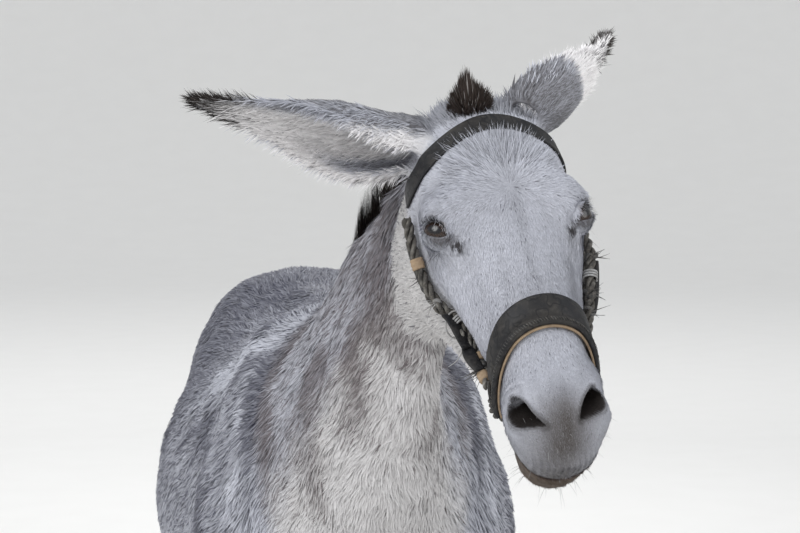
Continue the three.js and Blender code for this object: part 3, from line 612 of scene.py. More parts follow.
class Nostril(Spot):
    """A comma-shaped nostril: its inner edge is straight and crisp, its outer wing soft."""

    INNER = 13.0
    SPAN = {-1: (26.0, 34.0), 1: (21.0, 27.0)}  # half its length, and its width
    PLACE = {-1: (-0.0530, -0.412, -0.035), 1: (0.0300, -0.421, -0.021)}

    def __init__(self, side, tree):
        self.half, self.wide = self.SPAN[side]
        want = from_head(np.array([self.PLACE[side]]))
        at, normal, _, _ = nearest_on(tree, want)
        out = unit(normal[0] + HEAD_TURN @ np.array([0.25 * side, -0.35, 0.1]))
        super().__init__(at[0], out, HEAD_TURN @ np.array([-0.12 * side, -0.95, 0.22]))
        if self.across @ HEAD_TURN[:, 2] < 0:
            self.across = -self.across
        self.side = side

    def off(self, a, b):
        """How far outside the opening a point is, below 0 inside it."""
        a = a - 2
        t = np.clip((a + self.half) / (2 * self.half), 0, 1)
        wide = self.wide * np.sin(math.pi * t**0.7) ** 0.9
        inner = self.INNER - 0.013 * (a - 3) ** 2
        beside = np.maximum(b - inner, inner - wide - b)
        past = np.maximum(np.abs(a) - self.half, 0)
        return np.where(past > 0, np.hypot(past, np.maximum(beside, 0)), beside)

    def shape(self, co):
        a, b, h = self.local(co)
        near = (a * a + b * b < 60**2) & (np.abs(h) < 34)
        a, b, h = a[near], b[near], h[near]
        off = self.off(a, b)
        wing = smooth(self.INNER - b, 4, 20)
        h = h + 2.6 * bell(off - 4, 5) * wing + 1.2 * bell(off - 2.5, 2.5) * (1 - wing)
        carved = smooth(-off, -0.5, 4.0)
        floor = -16 - smooth(-off, 2, 11) * 14
        h = h + (np.minimum(floor, h - 8) - h) * carved
        a = a - carved * 4
        b = b + carved * 3
        co[near] = self.world(a, b, h)
        return co


def mouth_height(x):
    """How high the line between the lips is, in millimetres, at each place across."""
    return -110.5 + 0.0045 * x * x - 0.9 * np.abs(x / 30)


def mouth_off(h):
    """How far above the line between the lips a point of the head is, in millimetres."""
    x, y, z = (h * 1000).T
    return z - mouth_height(x), smooth(-y, 385, 404)


def shape_face(co):
    """Gives the head its lips, crests, hollows and wrinkles."""
    h = to_head(co)
    x, y, z = (h * 1000).T
    near = (y < 60) & (y > -520) & (np.abs(x) < 150) & (z < 60) & (z > -230)
    x, y, z = x[near], y[near], z[near]
    side = np.abs(x)
    lift = np.zeros(len(x))

    def ridge(path, width, height):
        away = np.full(len(x), 1e9)
        for a, b in zip(path[:-1], path[1:]):
            a, b = np.array(a), np.array(b)
            d = b - a
            q = np.stack([side, y, z], 1) - a
            t = np.clip(q @ d / (d @ d), 0, 1)
            away = np.minimum(away, np.linalg.norm(q - t[:, None] * d, axis=1))
        return height * bell(away, width)

    lift += ridge([(96, -215, -62), (82, -270, -68), (68, -320, -72)], 9, 3.2)
    lift += ridge([(72, -228, -18), (52, -290, -16), (36, -350, -15)], 9, 1.6)
    lift += ridge([(70, -122, -2), (84, -110, -18)], 14, -4.0)
    lift += ridge([(88, -186, -8), (98, -160, -4), (104, -136, -18)], 8, 2.2)
    lift += ridge([(74, -208, -28), (66, -224, -32)], 7, -1.8)
    lift += ridge([(58, -330, -100), (52, -370, -104), (42, -402, -108)], 7, 1.5)
    lift += ridge([(30, -392, -22), (24, -430, -34)], 10, -1.6)
    above, mouthy = z - mouth_height(x), smooth(-y, 388, 406)
    lift += mouthy * (-6.5 * bell(above, 2.4) + 2.4 * bell(above - 9, 7) + 2.0 * bell(above + 9, 6))
    corner = ridge([(47, -398, -108), (49, -388, -107)], 5, -3.0)
    lift += corner
    dip = smooth(-y, 425, 460) * bell(x, 3.0) * bell(z + 92, 20)
    lift -= 1.4 * dip
    crease = np.sin(x * 0.9 + 3 * np.sin(z * 0.09)) * smooth(-y, 430, 455)
    lift += 0.35 * crease * smooth(z, -104, -90) * (1 - smooth(z, -70, -45))
    wrinkle = np.sin(y * 0.62 + 2.2 * np.sin(z * 0.07 + 1)) * smooth(side, 42, 56)
    lift += 0.5 * wrinkle * smooth(-y, 350, 380) * (1 - smooth(-y, 402, 416))
    chin = np.sin(side * 0.5 + z * 0.35) * smooth(-z, 118, 126) * smooth(-y, 380, 410)
    lift += 0.4 * chin
    return near, lift / 1000


class DonkeySkin(PropertyGroup):
    cell: FloatProperty(
        name="Skin cell", description="Size of the skin's even cells", default=0.005, unit="LENGTH",
    )
    body_coat: FloatProperty(
        name="Body coat depth", description="How deep the coat lies on trunk and neck",
        default=0.006, unit="LENGTH",
    )
    leg_coat: FloatProperty(
        name="Leg coat depth", description="How deep the coat lies on the legs and the tail",
        default=0.0035, unit="LENGTH",
    )
    face_coat: FloatProperty(
        name="Face coat depth", description="How deep the coat lies on the head and the ears",
        default=0.002, unit="LENGTH",
    )


def flesh_tree():
    """The CAD's flesh as one search tree, and the node that each of its faces belongs to."""
    shells = [cad_shell(name) for name in FLESH]
    owner = np.concatenate([np.full(len(s[1]), i) for i, s in enumerate(shells)])
    co, faces = joined(shells)
    return BVHTree.FromPolygons([tuple(p) for p in co], faces), owner


def even_skin(cell):
    """One closed even skin round every flesh node and both eyes."""
    shells = [cad_shell(name, 0.5 * MM) for name in [*FLESH, "eye_left", "eye_right"]]
    co, faces = joined(shells)
    blank = object_from("blank", co, *loops_of(faces))
    remesh = blank.modifiers.new("even", "REMESH")
    remesh.mode, remesh.voxel_size = "VOXEL", cell
    seen = blank.evaluated_get(bpy.context.evaluated_depsgraph_get())
    mesh = bpy.data.meshes.new_from_object(seen)
    bpy.data.objects.remove(blank)
    co, edges = points_of(mesh), edges_of(mesh)
    corners = np.empty(len(mesh.loops), np.int32)
    mesh.loops.foreach_get("vertex_index", corners)
    corners = corners.reshape(-1, 4)
    body = main_body(len(co), edges)
    kept = np.cumsum(body) - 1
    return co[body], kept[edges[body[edges[:, 0]]]], kept[corners[body[corners[:, 0]]]]


def normals_of(co, corners):
    """Smooth outward normals of a mesh of equal-sided faces."""
    a, b, c = (co[corners[:, i]] for i in (0, 1, 2))
    d = co[corners[:, -1]]
    face = np.cross(c - a, d - b) if corners.shape[1] == 4 else np.cross(b - a, c - a)
    total = np.zeros_like(co)
    for i in range(corners.shape[1]):
        for k in range(3):
            total[:, k] += np.bincount(corners[:, i], face[:, k], len(co))
    return unit(total)


def finer(made, wanted):
    """Splits every edge between two wanted vertices."""
    bm = bmesh.new()
    bm.from_mesh(made.data)
    edges = [e for e in bm.edges if wanted[e.verts[0].index] and wanted[e.verts[1].index]]
    bmesh.ops.subdivide_edges(bm, edges=edges, cuts=1, use_grid_fill=True)
    bm.to_mesh(made.data)
    bm.free()
    return points_of(made.data), edges_of(made.data)


def put(made, co):
    made.data.vertices.foreach_set("co", co.astype(np.float32).ravel())
    made.data.update()


class DONKEY_OT_skin(Operator):
    """Makes one seamless skin from the flesh nodes, and sculpts the face in it"""

    bl_idname = "donkey.skin"
    bl_label = "Skin"

    def execute(self, context):
        sizes = context.scene.donkey_skin
        co, edges, corners = even_skin(sizes.cell)
        if len(co) < 50000:
            raise RuntimeError("the skin came out in pieces")
        tree, owner = flesh_tree()
        _, _, _, face = nearest_on(tree, co)
        part = owner[face]
        by_part = {
            "trunk": (1.0, sizes.body_coat), "neck": (0.8, sizes.body_coat),
            "head": (0.15, sizes.face_coat), "ear_right": (0.10, 0.001),
            "ear_left": (0.12, 0.001), "tail_dock": (0.2, sizes.leg_coat),
        }
        table = np.array([by_part.get(name, (0.17, sizes.leg_coat)) for name in FLESH])
        value = table[part]
        for _ in range(14):
            value = spread(value, edges, 0.9)
        h = to_head(co)
        muzzle = smooth(-h[:, 1], 0.36, 0.42) * (part == FLESH.index("head"))
        depth = value[:, 1] * (1 - 0.55 * muzzle)
        eyes = [Eye(-1), Eye(1)]
        low = co[:, 2] < 0.05
        weight = np.where(low, 0.02, value[:, 0])
        co = relax(co, edges, weight, 60)
        co -= normals_of(co, corners) * depth[:, None]

        made = object_from("skin", co, corners.ravel(), np.full(len(corners), 4))
        h = to_head(co)
        head = (part == FLESH.index("head")) & (h[:, 1] < 0.03)
        co, edges = finer(made, head)
        h = to_head(co)
        near = np.zeros(len(co), bool)
        for eye in eyes:
            near |= np.linalg.norm(co - eye.centre, axis=1) < 0.036
        near |= (h[:, 1] < -0.37) & (np.abs(h[:, 0]) < 0.1) & (h[:, 2] > -0.2)
        co = relax(co, edges, np.where(near, 0.3, 0.0), 6)
        put(made, co)
        co, edges = finer(made, near)
        h = to_head(co)
        near = np.zeros(len(co), bool)
        for eye in eyes:
            near |= np.linalg.norm(co - eye.centre, axis=1) < 0.034
        co = relax(co, edges, np.where(near | (h[:, 1] < -0.37), 0.3, 0.0), 6)
        put(made, co)

        normals = points_of(made.data, "vertex_normals", "vector")
        where, lift = shape_face(co)
        co[where] += normals[where] * lift[:, None]
        put(made, co)
        tree = BVHTree.FromPolygons(
            [tuple(p) for p in co], [tuple(f.vertices) for f in made.data.polygons]
        )
        nostrils = [Nostril(-1, tree), Nostril(1, tree)]
        for spot in [*nostrils, *eyes]:
            co = spot.shape(co)
        put(made, co)
        MADE.update(skin=made, eyes=eyes, nostrils=nostrils)
        tree, owner = flesh_tree()
        _, _, _, face = nearest_on(tree, co)
        fields = MADE["fields"] = Fields(made, owner[face])
        MADE["skin_tree"] = BVHTree.FromPolygons(
            [tuple(p) for p in co], [tuple(f.vertices) for f in made.data.polygons]
        )
        paint(made.data, "Hair colour", fields.skin_colour())
        place(made, hair_material("Skin under the coat", 420.0, 0.12, 0.7, 0.0012), "coat", *FLESH)
        return {"FINISHED"}


# ------------------------------------------------------------------ the coat's lie and colours

def bezier(points, count):
    """Points along a bent line with three handles."""
    t = np.linspace(0, 1, count)[:, None]
    a, b, c = (np.array(p) for p in points)
    return a * (1 - t) ** 2 + 2 * b * t * (1 - t) + c * t * t


class Ear:
    """An ear's middle line, from its root to its tip, and the way that it opens."""

    def __init__(self, root, bend, tip, opening):
        root = from_head(np.array(root) * MM)
        handles = [root, root + np.array(bend) * MM, root + np.array(tip) * MM]
        self.opening = unit(np.array(opening, float))
        self.axis = Axis(bezier(handles, 9), np.cross(self.opening, handles[2] - handles[0]))
        self.long = self.axis.start[-1]

    def place(self, co, normals):
        """Share of the way to the tip, how much a point faces the open side, and the way to the tip."""
        s, _, out, way = self.axis.around(co)
        return s / self.long, dot(normals, self.opening), out, way


EARS = {
    "ear_right": Ear((-64, -38, -46), (-130, 2, -12), (-276, 22, 48), (-0.08, -0.7, -0.71)),
    "ear_left": Ear((52, -30, -32), (38, 50, 42), (124, 200, 102), (0.05, 0.75, 0.65)),
}


def leg_axis(name):
    """From the foot up, so that lengths along are heights."""
    low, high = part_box("hoof_" + name.replace("leg", ""))
    x, y = (low[0] + high[0]) / 2, (low[1] + high[1]) / 2
    return Axis([(x, y, 0), (x, y, 0.45), (x * 0.95, y, 0.85)], (0, 1, 0))


def whorl_flow(h):
    """The lie of the face's hair: out of a whorl on the forehead, then to the lips and the cheeks."""
    x, y, z = h.T
    beyond = y + 0.145
    out = np.stack([x * 1.0, np.where(beyond > 0, beyond, beyond * 1.6), 0 * z], 1)
    out = unit(out)
    far = smooth(np.hypot(x, beyond), 0.02, 0.12)
    down_face = np.stack([x * 1.5, np.full(len(x), -1.0), 0 * z], 1)
    below = smooth(-beyond, 0.0, 0.05) * far
    flow = out * (1 - below)[:, None] + unit(down_face) * below[:, None]
    cheek = smooth(-z, 0.05, 0.11) * smooth(-y, 0.02, 0.1) * (1 - smooth(-y, 0.33, 0.4))
    return flow * (1 - cheek)[:, None] + np.array([0, 0.45, -0.9]) * cheek[:, None]


class Path:
    """A mark on the coat along a path of (length along, degrees from the top) round an axis."""

    def __init__(self, width, strength, *points):
        self.width, self.strength = width, strength
        self.points = [(s, math.radians(angle)) for s, angle in points]

    def cover(self, s, angle, out):
        best = np.full(len(s), np.inf)
        for (s0, a0), (s1, a1) in zip(self.points[:-1], self.points[1:]):
            u, v = s - s0, (angle - a0) * out
            du, dv = s1 - s0, (a1 - a0) * out
            t = np.clip((u * du + v * dv) / (du * du + dv * dv + 1e-9), 0, 1)
            best = np.minimum(best, np.hypot(u - t * du, v - t * dv))
        return self.strength * bell(best, self.width)


TRUNK_MARKS = [
    Path(0.035, 0.75, (0.14, 0), (1.4, 0)),
    Path(0.029, 1.25, (0.195, 0), (0.180, 20), (0.172, 26), (0.156, 33), (0.145, 46)),
    Path(0.009, 0.6, (0.220, 30), (0.283, 42), (0.448, 58), (0.547, 71)),
    Path(0.008, 0.7, (0.250, 9), (0.288, 19), (0.295, 27)),
    Path(0.022, -0.55, (0.212, 15), (0.239, 29), (0.36, 36), (0.52, 43)),
    Path(0.014, -0.6, (0.196, 42), (0.154, 53), (0.145, 76)),
    Path(0.030, 0.75, (0.424, 61), (0.256, 77), (0.237, 92)),
    Path(0.13, 0.68, (0.92, 12), (0.95, 48), (0.8, 60)),
    Path(0.08, 0.5, (1.0, 0), (0.9, 14)),
    Path(0.09, 0.3, (0.6, 20), (0.66, 56)),
    Path(0.10, -0.32, (0.1, 120), (0.5, 150), (0.9, 150)),
    Path(0.05, -0.2, (0.95, 100), (0.85, 130)),
]
NECK_MARKS = [
    Path(0.014, 0.85, (0.437, 53), (0.404, 61), (0.377, 73), (0.354, 88), (0.331, 110), (0.30, 150)),
    Path(0.015, 0.75, (0.354, 128), (0.339, 146), (0.312, 153)),
    Path(0.015, 0.75, (0.344, 167), (0.336, 179), (0.318, 174)),
    Path(0.023, 0.9, (0.266, 134), (0.245, 151), (0.226, 158), (0.208, 160)),
    Path(0.024, 0.85, (0.191, 87), (0.173, 110)),
    Path(0.018, 1.0, (0.095, 28), (0.069, 45), (0.062, 58), (0.073, 84), (0.065, 104)),
    Path(0.020, 0.40, (0.14, 124), (0.13, 153)),
    Path(0.016, 0.35, (0.062, 120), (0.0, 122)),
    Path(0.016, -0.2, (0.305, 48), (0.253, 60), (0.221, 64), (0.194, 65)),
    Path(0.05, -0.25, (0.10, 175), (0.02, 175)),
    Path(0.05, 0.35, (0.1, 0), (0.5, 0)),
    Path(0.055, 0.36, (0.3, 60), (0.42, 110)),
]

PALE = np.array([0.520, 0.532, 0.590])
CREAM = np.array([0.68, 0.64, 0.575])
DEEP = {
    "body": np.array([0.058, 0.059, 0.085]), "neck": np.array([0.105, 0.085, 0.088]),
    "head": np.array([0.10, 0.10, 0.115]), "muzzle": np.array([0.085, 0.075, 0.07]),
    "ear": np.array([0.10, 0.095, 0.10]), "leg": np.array([0.13, 0.12, 0.12]),
}


class Fields:
    """What the coat does at each point of the skin."""

    def __init__(self, made, part):
        co = self.co = points_of(made.data)
        edges = edges_of(made.data)
        self.normal = unit(points_of(made.data, "vertex_normals", "vector"))
        n = len(co)
        share = np.zeros((n, len(FLESH)))
        share[np.arange(n), part] = 1
        for _ in range(10):
            share = spread(share, edges, 0.9)
        self.share = {name: share[:, i] for i, name in enumerate(FLESH)}
        self.part = part
        self.h = to_head(co)
        self.legs = sum(self.share[name] for name in FLESH if "leg" in name)
        self.lie()
        self.colours()

    def lie(self):
        """The way the hair lies, and its length, at each point."""
        co, share, h = self.co, self.share, self.h
        flow = np.zeros_like(co)
        trunk = np.tile([0.0, 0.8, -0.6], (len(co), 1))
        chest = smooth(-co[:, 1], 0.18, 0.36)[:, None] * smooth(1.02 - co[:, 2], 0, 0.1)[:, None]
        trunk = trunk * (1 - chest) + np.array([0.0, 0.1, -1.0]) * chest
        flow += trunk * share["trunk"][:, None]
        _, _, _, way = NECK_AXIS.around(co)
        flow += (-way * 0.8 + [0.0, 0.1, -0.45]) * share["neck"][:, None]
        flow += unit(whorl_flow(h) @ HEAD_TURN.T) * share["head"][:, None]
        flow += np.array([0.0, 0.12, -1.0]) * self.legs[:, None]
        flow += np.array([0.0, 0.25, -1.0]) * share["tail_dock"][:, None]
        length = share["trunk"] * 22 + share["neck"] * 23 + self.legs * 12 + share["tail_dock"] * 18
        x, y, z = (h * 1000).T
        face = 7.5 + 9 * smooth(y, -150, -100) * bell(x, 60) + 4 * smooth(-z, 70, 120)
        face -= 4.2 * smooth(-y, 345, 400)
        face += 5 * smooth(-z, 120, 160) * (1 - smooth(-y, 260, 330))
        length += share["head"] * face
        self.ear, self.beside = {}, {}
        self.above = {}
        for name, ear in EARS.items():
            foot, tip = ear.axis.p[0], ear.axis.p[-1]
            chord = unit(tip - foot)
            self.above[name] = (co - foot) @ unit(UP - chord * (UP @ chord))
        for name, ear in EARS.items():
            to_tip, facing, out, way = ear.place(co, self.normal)
            self.beside[name] = out
            fringe = smooth(facing, -0.5, 0.1) * (1 - smooth(facing, 0.55, 0.9))
            outward = self.normal * 0.25 + way
            flow += outward * share[name][:, None]
            length += share[name] * (8 + 9 * fringe + 4 * smooth(facing, 0.2, 0.8))
            self.ear[name] = to_tip, facing, fringe
        flow -= self.normal * dot(flow, self.normal)[:, None]
        self.flow, self.length = unit(flow), length
        self.flow += self.normal * 0

    def colours(self):
        """The pale and the deep hair colour at each point, and the share of deep hairs."""
        co, share, h = self.co, self.share, self.h
        wob = np.stack([noise(co, 0.035, i) for i in (1, 2, 3)], 1) - 0.5
        at = co + wob * 0.03
        broken = streaks(co, self.flow, 0.007, 0.05, 4)
        patchy = noise(co, 0.05, 5)

        s, angle, out, _ = TRUNK_AXIS.around(at)
        angle = np.abs(angle)
        low = smooth(angle, 1.5, 2.5)
        trunk = 0.50 + 0.12 * (patchy - 0.5) - 0.26 * low
        trunk += sum(mark.cover(s, angle, out) for mark in TRUNK_MARKS)
        trunk -= 0.2 * smooth(-co[:, 1], 0.2, 0.34) * smooth(angle, 0.9, 1.5)

        s, signed, out, _ = NECK_AXIS.around(at)
        angle = np.abs(signed)
        neck = 0.36 - 0.30 * smooth(angle, 1.9, 2.7) + 0.15 * (patchy - 0.5)
        neck += sum(mark.cover(s, angle, out) for mark in NECK_MARKS)
        neck *= 1 - 0.68 * smooth(signed, 1.0, 1.9) * (1 - smooth(s, 0.14, 0.34))

        x, y, z = (h * 1000).T
        side = np.abs(x)
        blaze = bell(x, 9) * smooth(y, -330, -150) * (1 - smooth(y, -90, -40))
        head = 0.10 + 0.10 * (patchy - 0.5) + 0.20 * blaze
        head += 0.55 * smooth(y, -52, -22) * (1 - smooth(side, 66, 96))
        head += 0.24 * bell(side - 60, 12) * bell(y + 112, 10)
        head += 0.20 * bell(y + 262, 24) * bell(x, 36)
        head += 0.16 * smooth(-z, 60, 120) * (1 - smooth(-y, 250, 330)) * patchy
        broad = 24 + 0.16 * np.clip(-y - 395, 0, 80)
        dark = smooth(-y, 372, 436) * bell((x + 7) / broad, 1.15) * (1 - 0.2 * smooth(-y, 455, 468))
        dark = np.maximum(dark * 0.95, 0.22 * smooth(-y, 415, 445))
        self.muzzle = smooth(-y, 385, 420) * share["head"]
        head = head * (1 - self.muzzle * 0.6) + dark

        legs = 0.14 + 0.3 * bell(co[:, 2] - 0.33, 0.05) + 0.35 * (1 - smooth(co[:, 2], 0.05, 0.12))
        legs += 0.2 * smooth(co[:, 2], 0.5, 0.8) + 0.25 * (patchy - 0.5)

        total = share["trunk"] * trunk + share["neck"] * neck + share["head"] * head
        total += self.legs * legs + share["tail_dock"] * 0.6
        pale = np.tile(PALE, (len(co), 1))
        deep = np.tile(DEEP["body"], (len(co), 1))
        for name, key in (("neck", "neck"), ("head", "head"), ("tail_dock", "body")):
            deep += (DEEP[key] - DEEP["body"]) * share[name][:, None]
        deep += (DEEP["leg"] - DEEP["body"]) * self.legs[:, None]
        deep += (DEEP["muzzle"] - DEEP["head"]) * self.muzzle[:, None]
        warm = 0.45 * share["neck"] * smooth(angle, 1.8, 2.6) + 0.5 * share["head"] * smooth(-z, 80, 130)
        for name in EARS:
            to_tip, facing, _ = self.ear[name]
            inner = smooth(facing, -0.1, 0.5)
            if name == "ear_left":
                edge = 0.37 - 38 * self.beside[name] ** 2
                turned = smooth(to_tip - edge, -0.015, 0.02)
                ear = (0.85 - 0.25 * smooth(to_tip, 0.1, 0.3)) * (1 - turned) + 0.02 * turned
                tip = smooth(to_tip + 4 * self.above[name], 0.50, 0.62)
                inner = np.maximum(inner * smooth(to_tip, 0.15, 0.25), turned)
            else:
                inner *= 1 - smooth(self.above[name], 0.004, 0.016)
                ear = 0.60 - 0.58 * inner + 0.16 * (patchy - 0.5)
                ear += 0.5 * bell(np.hypot(x + 122, (y + 44) * 1.4), 26) * (1 - inner)
                tip = inner * smooth(to_tip, 0.64, 0.90) * 0.75 + (1 - inner) * smooth(to_tip, 0.56, 0.86)
            ear = np.maximum(ear, 1.02 * tip)
            total += share[name] * ear
            warm += share[name] * inner * 0.7
            # partly the inner ear's pale hair, partly painted light that brightens its shaded hollow
            pale *= 1 + (0.55 * share[name] * inner)[:, None]
            deep += (DEEP["ear"] - DEEP["body"]) * share[name][:, None]
            deep *= 1 - 0.5 * (share[name] * smooth(to_tip, 0.66, 0.9))[:, None]
        pale += (CREAM - PALE) * np.clip(warm, 0, 1)[:, None]
        even = 1 - 0.8 * self.muzzle
        self.amount = np.clip(total + (broken - 0.5) * 0.62 * even * (0.25 + np.clip(total, 0, 1)), 0, 1)
        self.pale, self.deep = pale, deep
        self.contrast = 0.55 - 0.35 * share["head"] * smooth(-y, 60, 160)
        self.bare = np.zeros(len(co))
        # colours laid over the skin by tint(): bare-skin marks, and painted shade in the nostrils, between
        # the lips and in the upper lid's fold
        self.own = np.zeros((len(co), 4))
        self.features()

    def tint(self, cover, colour, bare=0.0):
        """Lays a colour over part of the skin, for its own marks and for painted shade."""
        cover = np.clip(cover, 0, 1)[:, None]
        self.own[:, :3] = self.own[:, :3] * (1 - cover) + np.array(colour) * cover
        self.own[:, 3:] = np.maximum(self.own[:, 3:] * (1 - cover), cover)
        self.bare = np.maximum(self.bare, cover[:, 0] * bare)

    def features(self):
        """Bare dark skin at the eyes, the nostrils and the lips, and painted shade inside the nostrils,
        between the lips and in the upper lid's fold.
        """
        co, h = self.co, self.h
        x, y, z = (h * 1000).T
        on_head = self.share["head"] > 0.5
        speck = noise(co, 0.0032, 9)
        for eye in MADE["eyes"]:
            a, b, out = eye.local(co)
            near = (np.hypot(a, b) < 60) & (out > -15)
            off = eye.off(a, b)
            top = smooth(b, -2, 4)
            corner = bell(np.hypot(a + 17, (b + 3) * 1.4), 6.5)
            corner += 0.95 * bell(np.hypot(a + 25, (b + 7) * 0.95), 7.5)
            smudge = corner * smooth(speck, 0.25, 0.45) * 1.3
            self.tint(near * smudge, (0.045, 0.042, 0.045), 0.6)
            lower = (1 - top) * bell(off - 3, 4.5) * smooth(-a, -14, 6)
            self.tint(near * lower * 0.85, (0.075, 0.068, 0.07), 0.7)
            tan = top * bell(off - 3, 1.8) * bell(a + 9, 5) * 0.5
            self.tint(near * tan, (0.42, 0.30, 0.21), 0.5)
            self.tint(near * (1 - smooth(off, 0.8, 2.6)) * 0.9, (0.024, 0.018, 0.017), 1.0)
            # painted shade along the upper lid's fold, where the skin is sculpted in
            crease = top * bell(off - 8.3, 1.3) * smooth(a, -6, 8)
            self.tint(near * crease * 0.8, (0.05, 0.04, 0.035), 0.3)
        for nostril in MADE["nostrils"]:
            a, b, out = nostril.local(co)
            near = (np.hypot(a, b) < 45) & (np.abs(out) < 40)
            off = nostril.off(a, b)
            self.tint(near * (1 - smooth(off, 1.0, 6.0)) * 0.85, (0.060, 0.052, 0.048), 0.7)
            # painted shade: near-black over the inside of each nostril's carved opening
            self.tint(near * (1 - smooth(off, -0.5, 2.8)), (0.012, 0.009, 0.008), 1.0)
        above, mouthy = mouth_off(h)
        mouthy *= on_head
        lower = mouthy * smooth(-above, 0.0, 2.0) * smooth(-y, 392, 418)
        self.tint(lower * 0.95, (0.105, 0.080, 0.062), 0.8)
        edge = mouthy * bell(above - 3.5, 3.5) * smooth(-y, 410, 440)
        self.tint(edge * 0.7, (0.26, 0.19, 0.155), 0.5)
        # painted shadow: a dark line along the sculpted gap between the lips
        self.tint(mouthy * bell(above, 1.2) * 0.8, (0.035, 0.026, 0.022), 1.0)

    def skin_colour(self):
        mixed = self.pale + (self.deep - self.pale) * self.amount[:, None]
        mixed *= 0.9
        return mixed * (1 - self.own[:, 3:]) + self.own[:, :3] * self.own[:, 3:]


# ------------------------------------------------------------------ tufts

def blades(root, way, up, length, width, rise, bend, slim=0.55):
    """Flat tapered tufts of 5 points and 3 triangles each: root, middle and tip."""
    across = unit(np.cross(way, up))
    half = across * (width / 2)[:, None]
    middle = root + way * (length * 0.5)[:, None] + up * (rise * bend)[:, None]
    tip = root + way * length[:, None] + up * rise[:, None]
    points = np.stack([root - half * slim, root + half * slim, middle - half, middle + half, tip], 1)
    order = np.array([0, 1, 3, 0, 3, 2, 2, 3, 4])
    loops = (np.arange(len(root)) * 5)[:, None] + order
    return points.reshape(-1, 3), loops.ravel()


def locks(line, up, width, turns=None):
    """Long tapered tufts along lines of points (tufts, steps, 3)."""
    n, steps, _ = line.shape
    way = unit(np.gradient(line, axis=1))
    across = unit(np.cross(way, up[:, None, :]))
    t = np.linspace(0, 1, steps)
    profile = np.sqrt(np.clip(1 - t, 0, 1)) * (0.55 + 0.45 * np.sin(np.pi * np.clip(t * 1.6, 0, 0.5)))
    half = across * (width[:, None] * profile / 2)[:, :, None]
    left, right = line - half, line + half
    points = np.concatenate([np.stack([left, right], 2)[:, :-1].reshape(n, -1, 3), line[:, -1:]], 1)
    quads = []
    for i in range(steps - 2):
        a = 2 * i
        quads += [a, a + 1, a + 3, a, a + 3, a + 2]
    a = 2 * (steps - 2)
    quads += [a, a + 1, a + 2]
    count = points.shape[1]
    loops = (np.arange(n) * count)[:, None] + np.array(quads)
    return points.reshape(-1, 3), loops.ravel(), count


def patches(base, count, rng_seed=3):
    """Texture corners for tufts: a patch 0.003 across at each root's place."""
    spread_ = np.random.default_rng(rng_seed).random((count, 2)) * 0.0028 - 0.0014
    return base[:, None, :] + spread_[None]


def hair_piece(name, points, loops, colours, corners, material, nodes=()):
    """A piece of joined tufts with its colours and its OFBake map."""
    made = object_from(name, points, loops, np.full(len(loops) // 3, 3))
    paint(made.data, "Hair colour", colours)
    layer = made.data.uv_layers.new(name="OFBake")
    layer.data.foreach_set("uv", corners[loops].astype(np.float32).ravel())
    return place(made, material, "coat", *nodes)


REGION_AXES = {
    "trunk": TRUNK_AXIS, "neck": NECK_AXIS,
    "head": Axis(from_head([(0, 0.06, -0.07), (0, -0.5, -0.07)]), HEAD_TURN[:, 0]),
    "tail_dock": Axis([(node_centre("tail_dock")[0], 0.72, 1.06), (node_centre("tail_dock")[0], 0.86, 0.84)]),
    **{name: ear.axis for name, ear in EARS.items()},
    **{name: leg_axis(name) for name in FLESH if "leg" in name},
}


def unwrapped(name, co, low, high):
    """Each point's place on the skin part's own unrolled shape, inside one rectangle."""
    axis = REGION_AXES[name]
    s, angle, _, _ = axis.around(co)
    u = np.clip(s / axis.start[-1], 0, 1)
    v = angle / (2 * math.pi) + 0.5
    if name.startswith("ear"):
        inner = dot(MADE["coat_normal"], EARS[name].opening) > 0.1
        v = np.clip(v * 0.5 + inner * 0.5, 0, 1)
    flat = np.stack([u, v], 1) * 0.96 + 0.02
    return np.array(low) + flat * (np.array(high) - np.array(low))


COAT_PARTS = [  # piece, skin parts, tufts for each, pieces it is split into
    ("coat_head", ["head"], [118000], 2),
    ("coat_neck", ["neck"], [62000], 1),
    ("coat_trunk", ["trunk"], [110000], 2),
    ("coat_ears", ["ear_right", "ear_left"], [17000, 17000], 1),
    ("coat_forelegs", ["foreleg_left", "foreleg_right"], [15000, 15000], 1),
    ("coat_hindlegs", ["hindleg_left", "hindleg_right", "tail_dock"], [16500, 16500, 4000], 1),
]


class DonkeyCoat(PropertyGroup):
    density: FloatProperty(
        name="Density", description="Share of the full number of tufts", default=1.0, min=0.05, max=1.0,
    )
    body_tuft: FloatProperty(
        name="Tuft width", description="Width of a tuft beside its length", default=0.082,
    )
    tousle: FloatProperty(
        name="Tousle", description="How far tufts stray from the lie of the coat", default=0.17,
        unit="ROTATION",
    )


def roots_on(fields, corners, weight, count, rng):
    """Evenly spread places on the skin's triangles."""
    a, b, c = (fields.co[corners[:, i]] for i in range(3))
    area = np.linalg.norm(np.cross(b - a, c - a), axis=1) * weight
    total = np.cumsum(area)
    if total[-1] <= 0:
        raise RuntimeError("no skin to grow a coat on")
    at = (np.arange(count) + rng.random(count)) / count * total[-1]
    tri = np.searchsorted(total, at, side="right").clip(0, len(corners) - 1)
    u, v = rng.random(count), rng.random(count)
    over = u + v > 1
    u[over], v[over] = 1 - u[over], 1 - v[over]
    return corners[tri], np.stack([1 - u - v, u, v], 1)


def tuft_colours(pale, deep, amount, contrast, own, rng):
    """Tufts keep near the mixed colour of their roots, and some of them stand out as deep ones."""
    n = len(pale)
    dark = rng.random(n) < amount * contrast
    depth = amount * (1 - 0.55 * contrast) + rng.normal(0, 0.05, n)
    depth = np.where(dark, depth + (0.95 - depth) * (0.35 + 0.6 * rng.random(n)), depth)
    colour = pale + (deep - pale) * np.clip(depth, -0.05, 1)[:, None]
    colour *= (0.94 + 0.13 * rng.random(n))[:, None]
    keep = np.clip(own[:, 3] * 1.15, 0, 1)[:, None]
    colour = colour * (1 - keep) + own[:, :3] * (0.8 + 0.5 * rng.random(n))[:, None] * keep
    return colour


